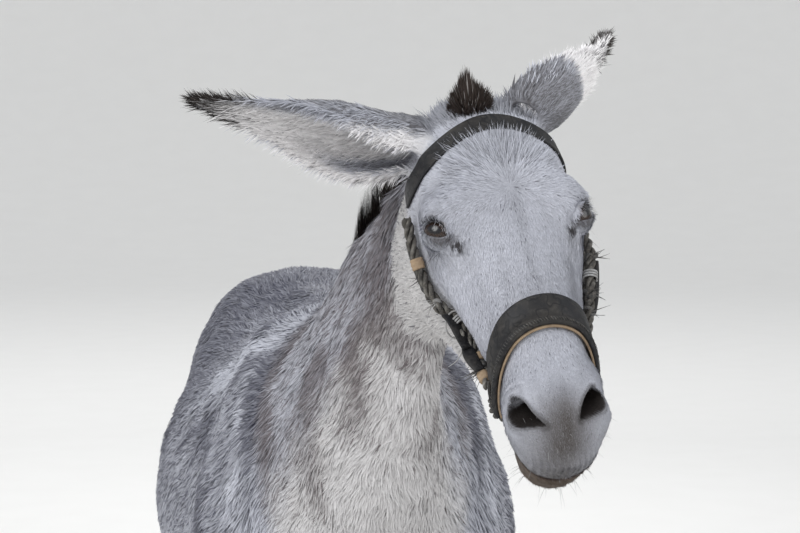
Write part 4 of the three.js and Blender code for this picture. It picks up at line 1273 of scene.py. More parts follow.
class DONKEY_OT_coat(Operator):
    """Lays the short coat over the skin as tufts that follow the lie of the hair"""

    bl_idname = "donkey.coat"
    bl_label = "Coat"

    def execute(self, context):
        sizes = context.scene.donkey_coat
        fields = MADE["fields"]
        mesh = MADE["skin"].data
        mesh.calc_loop_triangles()
        corners = np.empty(len(mesh.loop_triangles) * 3, np.int32)
        mesh.loop_triangles.foreach_get("vertices", corners)
        corners = corners.reshape(-1, 3)
        owner = fields.part[corners[:, 0]]
        grown = 1 - np.clip(fields.bare * 1.2, 0, 1)
        dense = (0.012 / np.clip(fields.length / 1000, 0.004, 0.03)) ** 0.6 * grown
        weight = dense[corners].mean(axis=1)
        data = np.column_stack([
            fields.co, fields.normal, fields.flow, fields.pale, fields.deep, fields.own,
            fields.length, fields.amount, fields.contrast,
        ])
        material = hair_material("Short coat", 700.0, 0.10, 0.62, 0.0006)
        rng = np.random.default_rng(11)
        for name, parts, counts, pieces in COAT_PARTS:
            made = []
            for index, (part, count) in enumerate(zip(parts, counts)):
                count = int(count * sizes.density * (1))
                here = owner == FLESH.index(part)
                corner, share = roots_on(fields, corners[here], weight[here], count, rng)
                value = np.einsum("nk,nkd->nd", share, data[corner])
                root, normal, flow = value[:, 0:3], unit(value[:, 3:6]), unit(value[:, 6:9])
                pale, deep, own = value[:, 9:12], value[:, 12:15], value[:, 15:19]
                length, amount, contrast = value[:, 19] * MM, value[:, 20], value[:, 21]
                turn = rng.normal(0, sizes.tousle, count)
                clump = (noise(root, 0.02, 21) - 0.5) * 1.1
                turn += clump * smooth(length, 0.010, 0.022)
                beside = np.cross(normal, flow)
                way = unit(flow * np.cos(turn)[:, None] + beside * np.sin(turn)[:, None])
                roll = rng.normal(0, 0.30, count) * smooth(length, 0.003, 0.018)
                up = unit(normal * np.cos(roll)[:, None] + np.cross(way, normal) * np.sin(roll)[:, None])
                size = length * (0.7 + 0.6 * rng.random(count))
                wide = size * sizes.body_tuft * (0.8 + 0.5 * rng.random(count)) + 0.0003
                rise = np.minimum(0.0005 + size * 0.17, 0.0044) * (0.35 + 0.65 * rng.random(count))
                base = root - normal * 0.0004
                points, loops = blades(base, way, up, size, wide, rise, 0.62)
                colour = tuft_colours(pale, deep, amount, contrast, own, rng)
                # painted shade towards each tuft's root, and slight painted light at its tip
                shade = np.array([0.88, 0.88, 0.99, 0.99, 1.06])
                colour = (colour[:, None, :] * shade[None, :, None]).reshape(-1, 3)
                MADE["coat_normal"] = normal
                tall = 1 / len(parts)
                place_at = unwrapped(part, root, (0, index * tall), (1, (index + 1) * tall))
                patch = patches(place_at, 5).reshape(-1, 2)
                made.append((points, loops, colour, patch))
            start, bits = 0, [[], [], [], []]
            for points, loops, colour, patch in made:
                for store, value in zip(bits, (points, loops + start, colour, patch)):
                    store.append(value)
                start += len(points)
            points, loops, colour, patch = (np.concatenate(b) for b in bits)
            tufts = len(points) // 5
            for k in range(pieces):
                first, last = tufts * k // pieces, tufts * (k + 1) // pieces
                cut = slice(first * 5, last * 5)
                hair_piece(
                    name if pieces == 1 else f"{name}_{k + 1}",
                    points[cut], loops[first * 9 : last * 9] - first * 5, colour[cut], patch[cut], material,
                )
        return {"FINISHED"}


# ------------------------------------------------------------------ eyes and hooves

def wet_eye(tree, where):
    own = tree.add("ShaderNodeAttribute", attribute_name="Eye colour")
    fleck = tree.noise(900.0, where, 3.0)
    shade = tree.between(fleck, 0.3, 0.7, 0.85, 1.15)
    return {
        "Base Color": tree.mix(1.0, own, shade, "MULTIPLY"),
        "Roughness": tree.between(fleck, 0.3, 0.7, 0.20, 0.14),
        "Coat Weight": 0.35, "Coat Roughness": 0.16, "Specular IOR Level": 0.45,
    }


class DonkeyEyes(PropertyGroup):
    iris: FloatVectorProperty(
        name="Iris colour", description="The dark brown of the iris",
        default=(0.028, 0.015, 0.010), subtype="COLOR",
    )
    iris_size: FloatProperty(
        name="Iris size", description="Radius of the iris", default=0.0135, unit="LENGTH",
    )


class DONKEY_OT_eyes(Operator):
    """Makes the two wet dark eyeballs, each with a cornea, an iris and a long pupil"""

    bl_idname = "donkey.eyes"
    bl_label = "Eyes"

    def execute(self, context):
        sizes = context.scene.donkey_eyes
        rings, around = 40, 64
        theta = np.linspace(0.02, math.pi - 0.02, rings)[:, None]
        phi = np.linspace(0, 2 * math.pi, around, endpoint=False)[None, :]
        index = np.arange(rings * around).reshape(rings, around)
        nxt = np.roll(index, -1, axis=1)
        quads = np.stack([index[:-1], index[1:], nxt[1:], nxt[:-1]], -1).reshape(-1, 4)
        for eye in MADE["eyes"]:
            reach = eye.radius + 0.7 * bell(theta, 0.62)
            a = (reach * np.sin(theta) * np.cos(phi)).ravel()
            b = (reach * np.sin(theta) * np.sin(phi)).ravel()
            h = (reach * np.cos(theta) + 0 * phi).ravel()
            co = eye.world(a, b, h)
            flip = quads[:, ::-1] if eye.side < 0 else quads
            made = object_from("eyeball_" + ("left" if eye.side > 0 else "right"),
                               co, flip.ravel(), np.full(len(quads), 4))
            from_middle = np.hypot(a, b * 1.04)
            spokes = noise(np.stack([np.arctan2(b, a) * 9, from_middle * 0.3, 0 * a], 1), 0.5, 3)
            iris = np.array(sizes.iris) * (0.6 + 0.9 * spokes)[:, None]
            white = np.array([0.030, 0.020, 0.018])
            edge = smooth(from_middle, sizes.iris_size * 1000 - 1.2, sizes.iris_size * 1000 + 0.8)
            colour = iris * (1 - edge)[:, None] + white * edge[:, None]
            pupil = 1 - smooth((a / 9.0) ** 2 + (b / 5.0) ** 2, 0.8, 1.25)
            colour = colour * (1 - pupil)[:, None] + np.array([0.004, 0.004, 0.006]) * pupil[:, None]
            colour[h < 0] = white
            paint(made.data, "Eye colour", colour)
            name = "eye_left" if eye.side > 0 else "eye_right"
            place(made, material_of("Wet eye", wet_eye), "eye", name)
        return {"FINISHED"}


def hoof_horn(tree, where):
    own = tree.add("ShaderNodeAttribute", attribute_name="Horn colour")
    wear = placed_effect(tree, "Surface wear", Scale=90.0, Amount=0.6)
    dusty = tree.mix(tree.math("MULTIPLY", wear["Dust"], 0.5), own, (0.30, 0.27, 0.23))
    return {
        "Base Color": tree.mix(tree.math("MULTIPLY", wear["Rubbed"], 0.45), dusty, (0.36, 0.33, 0.29)),
        "Roughness": tree.between(wear["Rubbed"], 0.0, 1.0, 0.48, 0.75),
        "Normal": raised(tree, wear["Height"], 0.0006, 0.6),
    }


class DonkeyHooves(PropertyGroup):
    ring_gap: FloatProperty(
        name="Ring gap", description="Distance between the growth rings", default=0.0075, unit="LENGTH",
    )


class DONKEY_OT_hooves(Operator):
    """Makes the four hooves with growth rings and worn edges"""

    bl_idname = "donkey.hooves"
    bl_label = "Hooves"

    def execute(self, context):
        gap = context.scene.donkey_hooves.ring_gap
        for end in ("foreleg_left", "foreleg_right", "hindleg_left", "hindleg_right"):
            name = "hoof_" + end.replace("leg", "")
            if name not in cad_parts:
                name = "hoof_" + end.replace("leg_", "_")
            co, faces = cad_shell(name)
            blank = object_from("blank", co, *loops_of(faces))
            remesh = blank.modifiers.new("even", "REMESH")
            remesh.mode, remesh.voxel_size = "VOXEL", 0.0028
            seen = blank.evaluated_get(bpy.context.evaluated_depsgraph_get())
            mesh = bpy.data.meshes.new_from_object(seen)
            bpy.data.objects.remove(blank)
            made = bpy.data.objects.new(name + "_horn", mesh)
            context.scene.collection.objects.link(made)
            mesh.polygons.foreach_set("use_smooth", np.ones(len(mesh.polygons), bool))
            co, edges = points_of(mesh), edges_of(mesh)
            sole = co[:, 2] < 0.0035
            top = co[:, 2].max()
            co = relax(co, edges, np.where(sole, 0.0, 0.5), 14)
            put(made, co)
            normal = points_of(mesh, "vertex_normals", "vector")
            flat = np.hypot(normal[:, 0], normal[:, 1])
            wob = noise(co, 0.03, 31) * 0.004
            ring = np.sin((co[:, 2] + wob) / gap * 2 * math.pi)
            wall = flat * smooth(co[:, 2], 0.004, 0.012)
            chips = smooth(noise(co, 0.012, 32), 0.62, 0.8) * (1 - smooth(co[:, 2], 0.002, 0.012))
            out = wall * (0.0004 * ring - 0.0004) - 0.0012 * chips * flat
            co += normal * out[:, None]
            co[:, 2] = np.where(sole, np.maximum(co[:, 2], 0.0), np.maximum(co[:, 2], 0.0008))
            co[sole & (co[:, 2] < 0.002), 2] = 0.0
            put(made, co)
            pale = np.array([0.20, 0.175, 0.15])
            dark = np.array([0.065, 0.055, 0.048])
            band = 0.5 + 0.35 * ring + 0.5 * (noise(co, 0.02, 33) - 0.5)
            band += 0.3 * smooth(co[:, 2], top - 0.012, top)
            colour = dark + (pale - dark) * np.clip(band, 0, 1)[:, None]
            paint(mesh, "Horn colour", colour)
            place(made, material_of("Hoof horn", hoof_horn), "hoof", name)
        return {"FINISHED"}


# ------------------------------------------------------------------ long hair

def long_piece(name, line, up, width, colour, slot_material, place_at, nodes=(), slot="dark_hair"):
    """A piece of long locks along lines (tufts, steps, 3), darker at the root."""
    points, loops, count = locks(line, up, width)
    t = np.linspace(0, 1, count)[None, :, None]
    shade = colour[:, None, :] * (0.75 + 0.4 * t)
    made = object_from(name, points, loops, np.full(len(loops) // 3, 3))
    paint(made.data, "Hair colour", shade.reshape(-1, 3))
    layer = made.data.uv_layers.new(name="OFBake")
    patch = patches(place_at, count).reshape(-1, 2)
    layer.data.foreach_set("uv", patch[loops].astype(np.float32).ravel())
    place(made, slot_material, slot, *nodes)
    return made


def box_place(co):
    """Each root's place on a plain unrolled side of the hair's own length and height."""
    low, high = co.min(axis=0), co.max(axis=0)
    flat = (co - low) / np.maximum(high - low, 1e-6)
    long = int(np.argmax(high - low))
    other = 2 if long != 2 else 0
    side = (flat[:, 3 - long - other] > 0.5) * 0.5
    return np.stack([0.02 + flat[:, long] * 0.96, 0.01 + side + flat[:, other] * 0.48], 1)


def shell_points(name, count, rng, keep=None):
    """Evenly spread points on a CAD node's surface, with their normals."""
    co, faces = cad_shell(name)
    tri = np.array([f for f in faces if len(f) == 3])
    a, b, c = co[tri[:, 0]], co[tri[:, 1]], co[tri[:, 2]]
    cross = np.cross(b - a, c - a)
    normal = unit(cross)
    area = np.linalg.norm(cross, axis=1)
    if keep is not None:
        area = area * keep((a + b + c) / 3, normal)
    pick = rng.choice(len(tri), count, p=area / area.sum())
    u, v = rng.random(count), rng.random(count)
    over = u + v > 1
    u[over], v[over] = 1 - u[over], 1 - v[over]
    return a[pick] * (1 - u - v)[:, None] + b[pick] * u[:, None] + c[pick] * v[:, None], normal[pick]


def curved(root, tip, bow, steps):
    """Lines from root to tip, bowed by the vector `bow` at the middle."""
    t = np.linspace(0, 1, steps)[None, :, None]
    straight = root[:, None] * (1 - t) + tip[:, None] * t
    return straight + bow[:, None] * (4 * t * (1 - t))


def grown_from(weight, count, rng):
    """Places on the skin by weight: the index of the vertex that each lock grows near."""
    total = np.cumsum(weight)
    at = (np.arange(count) + rng.random(count)) / count * total[-1]
    return np.searchsorted(total, at, side="right").clip(0, len(weight) - 1)


class DonkeyHair(PropertyGroup):
    mane_locks: IntProperty(name="Mane locks", description="How many locks the mane has", default=6500)
    forelock_locks: IntProperty(
        name="Forelock locks", description="How many locks the forelock has", default=2600,
    )
    tail_locks: IntProperty(
        name="Tail locks", description="How many locks the tail's brush has", default=2600,
    )
    ear_locks: IntProperty(
        name="Ear locks", description="How many long hairs each ear has", default=3600,
    )
    mane_colour: FloatVectorProperty(
        name="Mane colour", description="The dark hair of the mane", default=(0.060, 0.046, 0.040),
        subtype="COLOR",
    )


class DONKEY_OT_mane(Operator):
    """Makes the upright mane, the forelock and the tail's brush"""

    bl_idname = "donkey.mane"
    bl_label = "Mane, forelock and tail"

    def execute(self, context):
        sizes = context.scene.donkey_hair
        rng = np.random.default_rng(23)
        skin = MADE["skin_tree"]
        material = hair_material("Long hair", 500.0, 0.14, 0.5, 0.0005)
        dark = np.array(sizes.mane_colour)

        def coloured(n, grey=0.15, mix=None):
            grey_share = (rng.random(n) < grey)[:, None] if mix is None else (rng.random(n) < mix)[:, None]
            pale = np.array([0.30, 0.28, 0.27])
            colour = np.where(grey_share, pale, dark)
            return colour * (0.6 + 0.8 * rng.random(n))[:, None]

        count = sizes.mane_locks
        tip, _ = shell_points(
            "mane", count, rng, lambda middle, way: (way[:, 2] > -0.2) * (0.4 + np.abs(way[:, 2]))
        )
        root, up, _, far = nearest_on(skin, tip)
        taller = tip + unit(tip - root) * (rng.random(count) * 0.004 - 0.006)[:, None]
        back = np.array([0, 0.012, -0.002]) * (0.3 + rng.random(count))[:, None]
        inside = rng.random(count)[:, None] ** 0.5 * 0.35 + 0.65
        top = root + (taller - root) * inside
        line = curved(root - up * 0.002, top, back * np.clip(far / 0.05, 0, 1)[:, None], 5)
        jitter = rng.normal(0, 0.0016, (count, 3))
        line[:, -1] += jitter
        side = unit(np.cross(top - root + 1e-6, [0.12, 1.0, 0.6]))
        wide = 0.0022 + 0.0018 * rng.random(count)
        colour = coloured(count, mix=0.10 + 0.25 * smooth(noise(root, 0.03, 41), 0.5, 0.8))
        long_piece("mane_hair", line, side, wide, colour, material, box_place(root), ["mane"])

        count = sizes.forelock_locks
        tip, normal = shell_points("forelock", count, rng)
        low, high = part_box("forelock")
        base = from_head(to_head(np.array([(low + high) / 2])) * [1, 1, 0] + [0, 0, -0.012])[0]
        aim = tip * 0.4 + base * 0.6
        aim += unit(tip - base) * 0.004
        root, up, _, far = nearest_on(skin, aim)
        top = root + (tip - root) * (0.72 + 0.24 * rng.random(count))[:, None]
        bow = (root - base) * 0.12 * rng.random(count)[:, None]
        line = curved(root - up * 0.002, top, bow, 5)
        side = unit(np.cross(top - root + 1e-6, from_head(np.array([[1.0, 0, 0]])) - HEAD_ORIGIN))
        wide = 0.0010 + 0.0010 * rng.random(count)
        colour = coloured(count, mix=0.06)
        long_piece("forelock_hair", line, side, wide, colour, material, box_place(root), ["forelock"])

        count = sizes.tail_locks
        low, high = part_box("tail_switch")
        x = (low[0] + high[0]) / 2
        y = high[1] - 0.033
        spine = np.array([(x, y - 0.004, high[2] + 0.12), (x, y + 0.002, high[2]), (x, y, 0.72),
                          (x + 0.002, y - 0.004, 0.58), (x + 0.006, y - 0.006, low[2] + 0.002)])
        heights = spine[::-1, 2]
        start = high[2] + 0.10 - rng.random(count) ** 1.2 * 0.26
        run = 0.16 + 0.2 * rng.random(count)
        end = np.maximum(start - run, low[2] + 0.004 + 0.03 * rng.random(count))
        angle, deep = rng.random(count) * 2 * math.pi, np.sqrt(rng.random(count))
        t = np.linspace(0, 1, 7)[None, :]
        z = start[:, None] + (end - start)[:, None] * t
        middle = np.stack([np.interp(z, heights, spine[::-1, k]) for k in (0, 1)], -1)
        heights = [low[2], 0.50, 0.60, 0.72, 0.84, 0.96]
        reach = np.interp(z, heights, [0.004, 0.027, 0.036, 0.024, 0.017, 0.016])
        reach = reach * (0.35 + 0.62 * deep[:, None])
        wave = 0.12 * np.sin(z * 40 + angle[:, None] * 3)
        out = np.stack([np.cos(angle[:, None] + wave), np.sin(angle[:, None] + wave) * 0.86], -1)
        line = np.concatenate([middle + out * reach[:, :, None], z[:, :, None]], -1)
        side = np.stack([np.cos(angle), np.sin(angle), 0 * angle], 1)
        colour = coloured(count, mix=0.12 + 0.4 * smooth(start, 0.8, 0.95))
        wide = 0.003 + 0.0025 * rng.random(count)
        place_at = np.stack([0.02 + 0.96 * angle / (2 * math.pi),
                             0.02 + 0.96 * (start - start.min()) / np.ptp(start)], 1)
        long_piece("tail_hair", line, side, wide, colour, material, place_at, ["tail_switch"])
        return {"FINISHED"}


class DONKEY_OT_fringe(Operator):
    """Makes the ears' long hair, the forehead's fan, the lashes and the whiskers"""

    bl_idname = "donkey.fringe"
    bl_label = "Ear hair, lashes and whiskers"

    def execute(self, context):
        sizes = context.scene.donkey_hair
        fields = MADE["fields"]
        rng = np.random.default_rng(29)
        material = hair_material("Long hair", 500.0, 0.14, 0.5, 0.0005)
        soft = hair_material("Soft pale hair", 600.0, 0.08, 0.62, 0.0004)
        lines, ups, wides, colours = [], [], [], []

        def strand(at, way, length, wide, colour, bow=0.12, stray=0.2):
            n = len(at)
            root, up = fields.co[at], fields.normal[at]
            way = unit(way + rng.normal(0, stray, (n, 3)))
            size = length * (0.6 + 0.7 * rng.random(n))
            tip = root + way * size[:, None]
            drop = np.array([0, 0, -1.0]) * (size * bow)[:, None]
            lines.append(curved(root - up * 0.001, tip + drop, -drop * 0.5, 4))
            ups.append(up)
            wides.append(wide * (0.7 + 0.6 * rng.random(n)))
            colours.append(colour * (0.82 + 0.3 * rng.random(n))[:, None])

        def close(name, material, slot, flat=False):
            line, up = np.concatenate(lines), np.concatenate(ups)
            wide, colour = np.concatenate(wides), np.concatenate(colours)
            root = line[:, 0]
            long_piece(name, line, up, wide, colour, material, box_place(root), (), slot)
            for store in (lines, ups, wides, colours):
                store.clear()

        for name, ear in EARS.items():
            to_tip, facing, fringe = fields.ear[name]
            own = fields.share[name]
            _, _, _, way = ear.axis.around(fields.co)
            ends = (0.56, 0.66) if name == "ear_left" else (0.66, 0.84)
            rim = own * fringe * smooth(to_tip, 0.04, 0.14) * (1 - smooth(to_tip, *ends))
            if name == "ear_left":
                rim += own * bell(to_tip - 0.42, 0.06) * 1.5
            at = grown_from(rim, sizes.ear_locks, rng)
            aim = way[at] * 0.75 + ear.opening * 0.55 + fields.normal[at] * 0.35
            strand(at, aim, 0.017, 0.0012, fields.pale[at] * 1.0, 0.05)
            inside = own * smooth(facing, 0.3, 0.7)
            inside = inside * smooth(to_tip, 0.12, 0.2) * (1 - smooth(to_tip, 0.72, 0.9))
            at = grown_from(inside, sizes.ear_locks // 2, rng)
            side = fields.normal[at] * 0.35 + way[at] * 0.9
            strand(at, side, 0.020, 0.0016, fields.pale[at] * 0.98, 0.05)
        close("ear_hair", soft, "coat")
        for name, ear in EARS.items():
            to_tip, facing, fringe = fields.ear[name]
            _, _, _, way = ear.axis.around(fields.co)
            back = fields.share[name] * smooth(to_tip, 0.70, 0.94) * (1 - 0.8 * smooth(facing, 0.2, 0.6))
            at = grown_from(back, sizes.ear_locks // 3, rng)
            tone = np.array([0.034, 0.028, 0.025]) * (0.6 + 0.9 * rng.random(len(at)))[:, None]
            strand(at, way[at] + fields.normal[at] * 0.4, 0.017, 0.0013, tone, 0.0)
        close("ear_tips", material, "dark_hair")

        x, y, z = (fields.h * 1000).T
        fan = fields.share["head"] * smooth(y, -128, -112) * (1 - smooth(y, -84, -74)) * bell(x + 4, 30)
        at = grown_from(fan, 2200, rng)
        dim = np.where(rng.random(len(at)) < 0.35, 0.55, 0.97)[:, None]
        lie = fields.flow[at] + fields.normal[at] * 0.16
        strand(at, lie, 0.022, 0.0009, fields.pale[at] * dim, 0.0, 0.16)
        top = fields.share["head"] * smooth(y, -46, -34) * (1 - smooth(np.abs(x), 50, 80)) * (z > -60)
        at = grown_from(top, 1200, rng)
        lie = fields.flow[at] + fields.normal[at] * 0.3
        strand(at, lie, 0.022, 0.0014, fields.pale[at] * 0.55, 0.0, 0.15)
        close("forehead_hair", soft, "coat")

        for eye in MADE["eyes"]:
            for upper, count, size in ((True, 90, 0.012), (False, 36, 0.007)):
                a = (rng.random(count) - 0.42) * eye.HALF * 1.7
                a = a.clip(-eye.HALF * 0.9, eye.HALF * 0.95)
                top, bottom = eye.edge(a)
                b = top + 0.6 if upper else bottom - 0.6
                h = np.sqrt(np.maximum((eye.radius + 1.8) ** 2 - a * a - b * b, 1))
                root = eye.world(a, b, h)
                lean = (0.35 if upper else -0.5) + rng.normal(0, 0.12, count)
                way = unit(eye.out + eye.across * lean[:, None] + eye.long * (a / 40)[:, None])
                tip = root + way * (size * (0.6 + 0.6 * rng.random(count)))[:, None]
                bow = -eye.across * (0.002 if upper else -0.001)
                lines.append(curved(root, tip, np.tile(bow, (count, 1)), 4))
                ups.append(np.tile(eye.across, (count, 1)))
                wides.append(np.full(count, 0.0007))
                colours.append(np.full((count, 3), 0.016))
        close("lashes", material, "dark_hair")

        chin = fields.share["head"] * smooth(-y, 385, 430) * smooth(-z, 84, 112)
        at = grown_from(chin, 50, rng)
        lie = fields.normal[at] + fields.flow[at] * 0.2
        strand(at, lie, 0.022, 0.0004, np.full((len(at), 3), 0.14), 0.15)
        lip = fields.share["head"] * smooth(-y, 400, 450) * (1 - smooth(-z, 80, 100))
        at = grown_from(lip, 90, rng)
        strand(at, fields.normal[at] + fields.flow[at] * 0.5, 0.010, 0.0004, np.full((len(at), 3), 0.30), 0.1)
        near = np.zeros(len(fields.co))
        for eye in MADE["eyes"]:
            a, b, h = eye.local(fields.co)
            near += bell(np.hypot(a, b + 22), 5) * (h > -20)
        at = grown_from(near, 14, rng)
        strand(at, fields.normal[at] + [0, 0, -0.3], 0.030, 0.0006, np.full((len(at), 3), 0.05), 0.1)
        close("whiskers", material, "dark_hair")
        return {"FINISHED"}


# ------------------------------------------------------------------ the halter

class HeadMap:
    """Where the coat's surface lies round the head, by (degrees from the face, length along)."""

    UP = -0.066

    def __init__(self, tree, hair=0.0022):
        self.angles = np.arange(-186, 187, 3.0)
        self.alongs = np.arange(0.0, 0.43, 0.006)
        table = np.full((len(self.angles), len(self.alongs)), np.nan)
        for i, angle in enumerate(np.radians(self.angles)):
            way = np.array([math.sin(angle), 0, math.cos(angle)])
            for j, along in enumerate(self.alongs):
                start = np.array([0, -along, self.UP]) + way * 0.26
                hit = tree.ray_cast(Vector(from_head(start)), Vector(-(HEAD_TURN @ way)), 0.26)
                if hit[0] is not None:
                    table[i, j] = 0.26 - hit[3]
        known = ~np.isnan(table)
        for _ in range(60):
            if known.all():
                break
            filled = np.nan_to_num(table)
            total, count = filled * known, known.astype(float)
            near = sum(np.roll(total, k, axis) for k in (1, -1) for axis in (0, 1))
            many = sum(np.roll(count, k, axis) for k in (1, -1) for axis in (0, 1))
            new = ~known & (many > 0)
            table[new] = near[new] / many[new]
            known |= new
        for _ in range(3):
            padded = np.pad(table, 1, mode="edge")
            beside = padded[:-2, 1:-1] + padded[2:, 1:-1] + padded[1:-1, :-2] + padded[1:-1, 2:]
            table = beside / 8 + table / 2
        self.table = table + hair

    def out(self, angle, along):
        """The distance from the head's middle line to its coat."""
        i = np.clip((np.asarray(angle) - self.angles[0]) / 3.0, 0, len(self.angles) - 1.001)
        j = np.clip(np.asarray(along) / 0.006, 0, len(self.alongs) - 1.001)
        i, j = np.broadcast_arrays(i, j)
        a, b = i.astype(int), j.astype(int)
        u, v = i - a, j - b
        t = self.table
        near = t[a, b] * (1 - u) + t[a + 1, b] * u
        return near * (1 - v) + (t[a, b + 1] * (1 - u) + t[a + 1, b + 1] * u) * v

    def at(self, angle, along, lift):
        """Points in the row frame, `lift` out from the coat."""
        reach = self.out(angle, along) + lift
        turn = np.radians(angle)
        p = np.stack(np.broadcast_arrays(
            np.sin(turn) * reach, -np.asarray(along, float), self.UP + np.cos(turn) * reach
        ), -1)
        return from_head(p)


def strip(grid, closed=True):
    """Quads over a grid of points (rows, columns, 3), the columns closed into a loop."""
    rows, columns = grid.shape[:2]
    index = np.arange(rows * columns).reshape(rows, columns)
    if closed:
        nxt = np.roll(index, -1, axis=1)
        quads = np.stack([index[:-1], nxt[:-1], nxt[1:], index[1:]], -1).reshape(-1, 4)
    else:
        quads = np.stack([index[:-1, :-1], index[:-1, 1:], index[1:, 1:], index[1:, :-1]], -1).reshape(-1, 4)
    faces = quads.tolist()
    if closed:
        faces += [index[0][::-1].tolist(), index[-1].tolist()]
    return grid.reshape(-1, 3), faces


def tube(path, radius, sides=8, flat=1.0, spin=0.0):
    """A round cord along points, with its own radius at each."""
    path = np.asarray(path, float)
    way = unit(np.gradient(path, axis=0))
    side = unit(np.cross(way[0], UP if abs(way[0][2]) < 0.9 else [1.0, 0, 0]))
    sides_ = [side]
    for w in way[1:]:
        side = side - w * (side @ w)
        side = side / max(np.linalg.norm(side), 1e-9)
        sides_.append(side)
    side = np.array(sides_)
    over = np.cross(way, side)
    angle = np.linspace(0, 2 * math.pi, sides, endpoint=False)[None, :, None] + spin
    radius = np.broadcast_to(np.asarray(radius, float), (len(path),))[:, None, None]
    ring = np.cos(angle) * side[:, None] + np.sin(angle) * over[:, None] * flat
    return strip(path[:, None] + ring * radius)


def spline(points, count):
    """A smooth line through a few points."""
    p = np.array(points, float)
    p = np.vstack([2 * p[0] - p[1], p, 2 * p[-1] - p[-2]])
    t = np.linspace(0, len(p) - 3 - 1e-9, count)
    i = t.astype(int)
    u = (t - i)[:, None]
    a, b, c, d = p[i], p[i + 1], p[i + 2], p[i + 3]
    return 0.5 * (2 * b + (c - a) * u + (2 * a - 5 * b + 4 * c - d) * u**2 + (3 * b - a - 3 * c + d) * u**3)


def built(name, shells, material, slot, nodes=(), colour=None):
    co, faces = joined(shells)
    made = object_from(name, co, *loops_of(faces))
    bm = bmesh.new()
    bm.from_mesh(made.data)
    bmesh.ops.recalc_face_normals(bm, faces=bm.faces)
    bm.to_mesh(made.data)
    bm.free()
    if colour is not None:
        paint(made.data, "Cord colour", np.concatenate(colour))
    return place(made, material, slot, *nodes)


def worn_strap(tree, where):
    wear = placed_effect(tree, "Surface wear", Scale=170.0, Amount=0.8)
    base = tree.mix(wear["Dust"], (0.013, 0.013, 0.015), (0.034, 0.031, 0.028))
    rubbed = tree.mix(tree.math("MULTIPLY", wear["Rubbed"], 0.45), base, (0.090, 0.083, 0.076))
    cracked = tree.mix(wear["Creases"], (0.009, 0.009, 0.010), rubbed)
    return {
        "Base Color": cracked,
        "Roughness": tree.between(wear["Rubbed"], 0.0, 1.0, 0.52, 0.78),
        "Specular IOR Level": 0.3,
        "Normal": raised(tree, wear["Height"], 0.0009, 0.7),
    }


def raw_lining(tree, where):
    wear = placed_effect(tree, "Surface wear", Scale=260.0, Amount=0.7)
    base = tree.mix(wear["Dust"], (0.34, 0.245, 0.155), (0.20, 0.14, 0.09))
    return {
        "Base Color": tree.mix(tree.math("MULTIPLY", wear["Rubbed"], 0.6), base, (0.44, 0.34, 0.24)),
        "Roughness": tree.between(wear["Rubbed"], 0.0, 1.0, 0.8, 0.92),
        "Normal": raised(tree, wear["Height"], 0.0006, 0.6),
    }


def plaited_cord(tree, where):
    own = tree.add("ShaderNodeAttribute", attribute_name="Cord colour")
    wear = placed_effect(tree, "Surface wear", Scale=420.0, Amount=0.9)
    dirty = tree.mix(tree.math("MULTIPLY", wear["Dust"], 0.55), own, (0.055, 0.048, 0.040))
    return {
        "Base Color": tree.mix(tree.math("MULTIPLY", wear["Rubbed"], 0.5), dirty, (0.26, 0.235, 0.20)),
        "Roughness": tree.between(wear["Rubbed"], 0.0, 1.0, 0.75, 0.92),
        "Normal": raised(tree, wear["Height"], 0.0008, 0.7),
    }


class DonkeyHalter(PropertyGroup):
    band_width: FloatProperty(
        name="Noseband width", description="Width of the noseband", default=0.038, unit="LENGTH",
    )
    crown_width: FloatProperty(
        name="Crown width", description="Width of the crown strap", default=0.025, unit="LENGTH",
    )
    stitch_gap: FloatProperty(
        name="Stitch gap", description="Distance between the stitches along the noseband",
        default=0.0036, unit="LENGTH",
    )


def nose_line(angle):
    return 0.304 + 0.043 * (1 - np.cos(np.radians(angle)))


def crown_line(angle):
    return 0.050 + 0.036 * np.sin(np.radians(angle)) ** 2


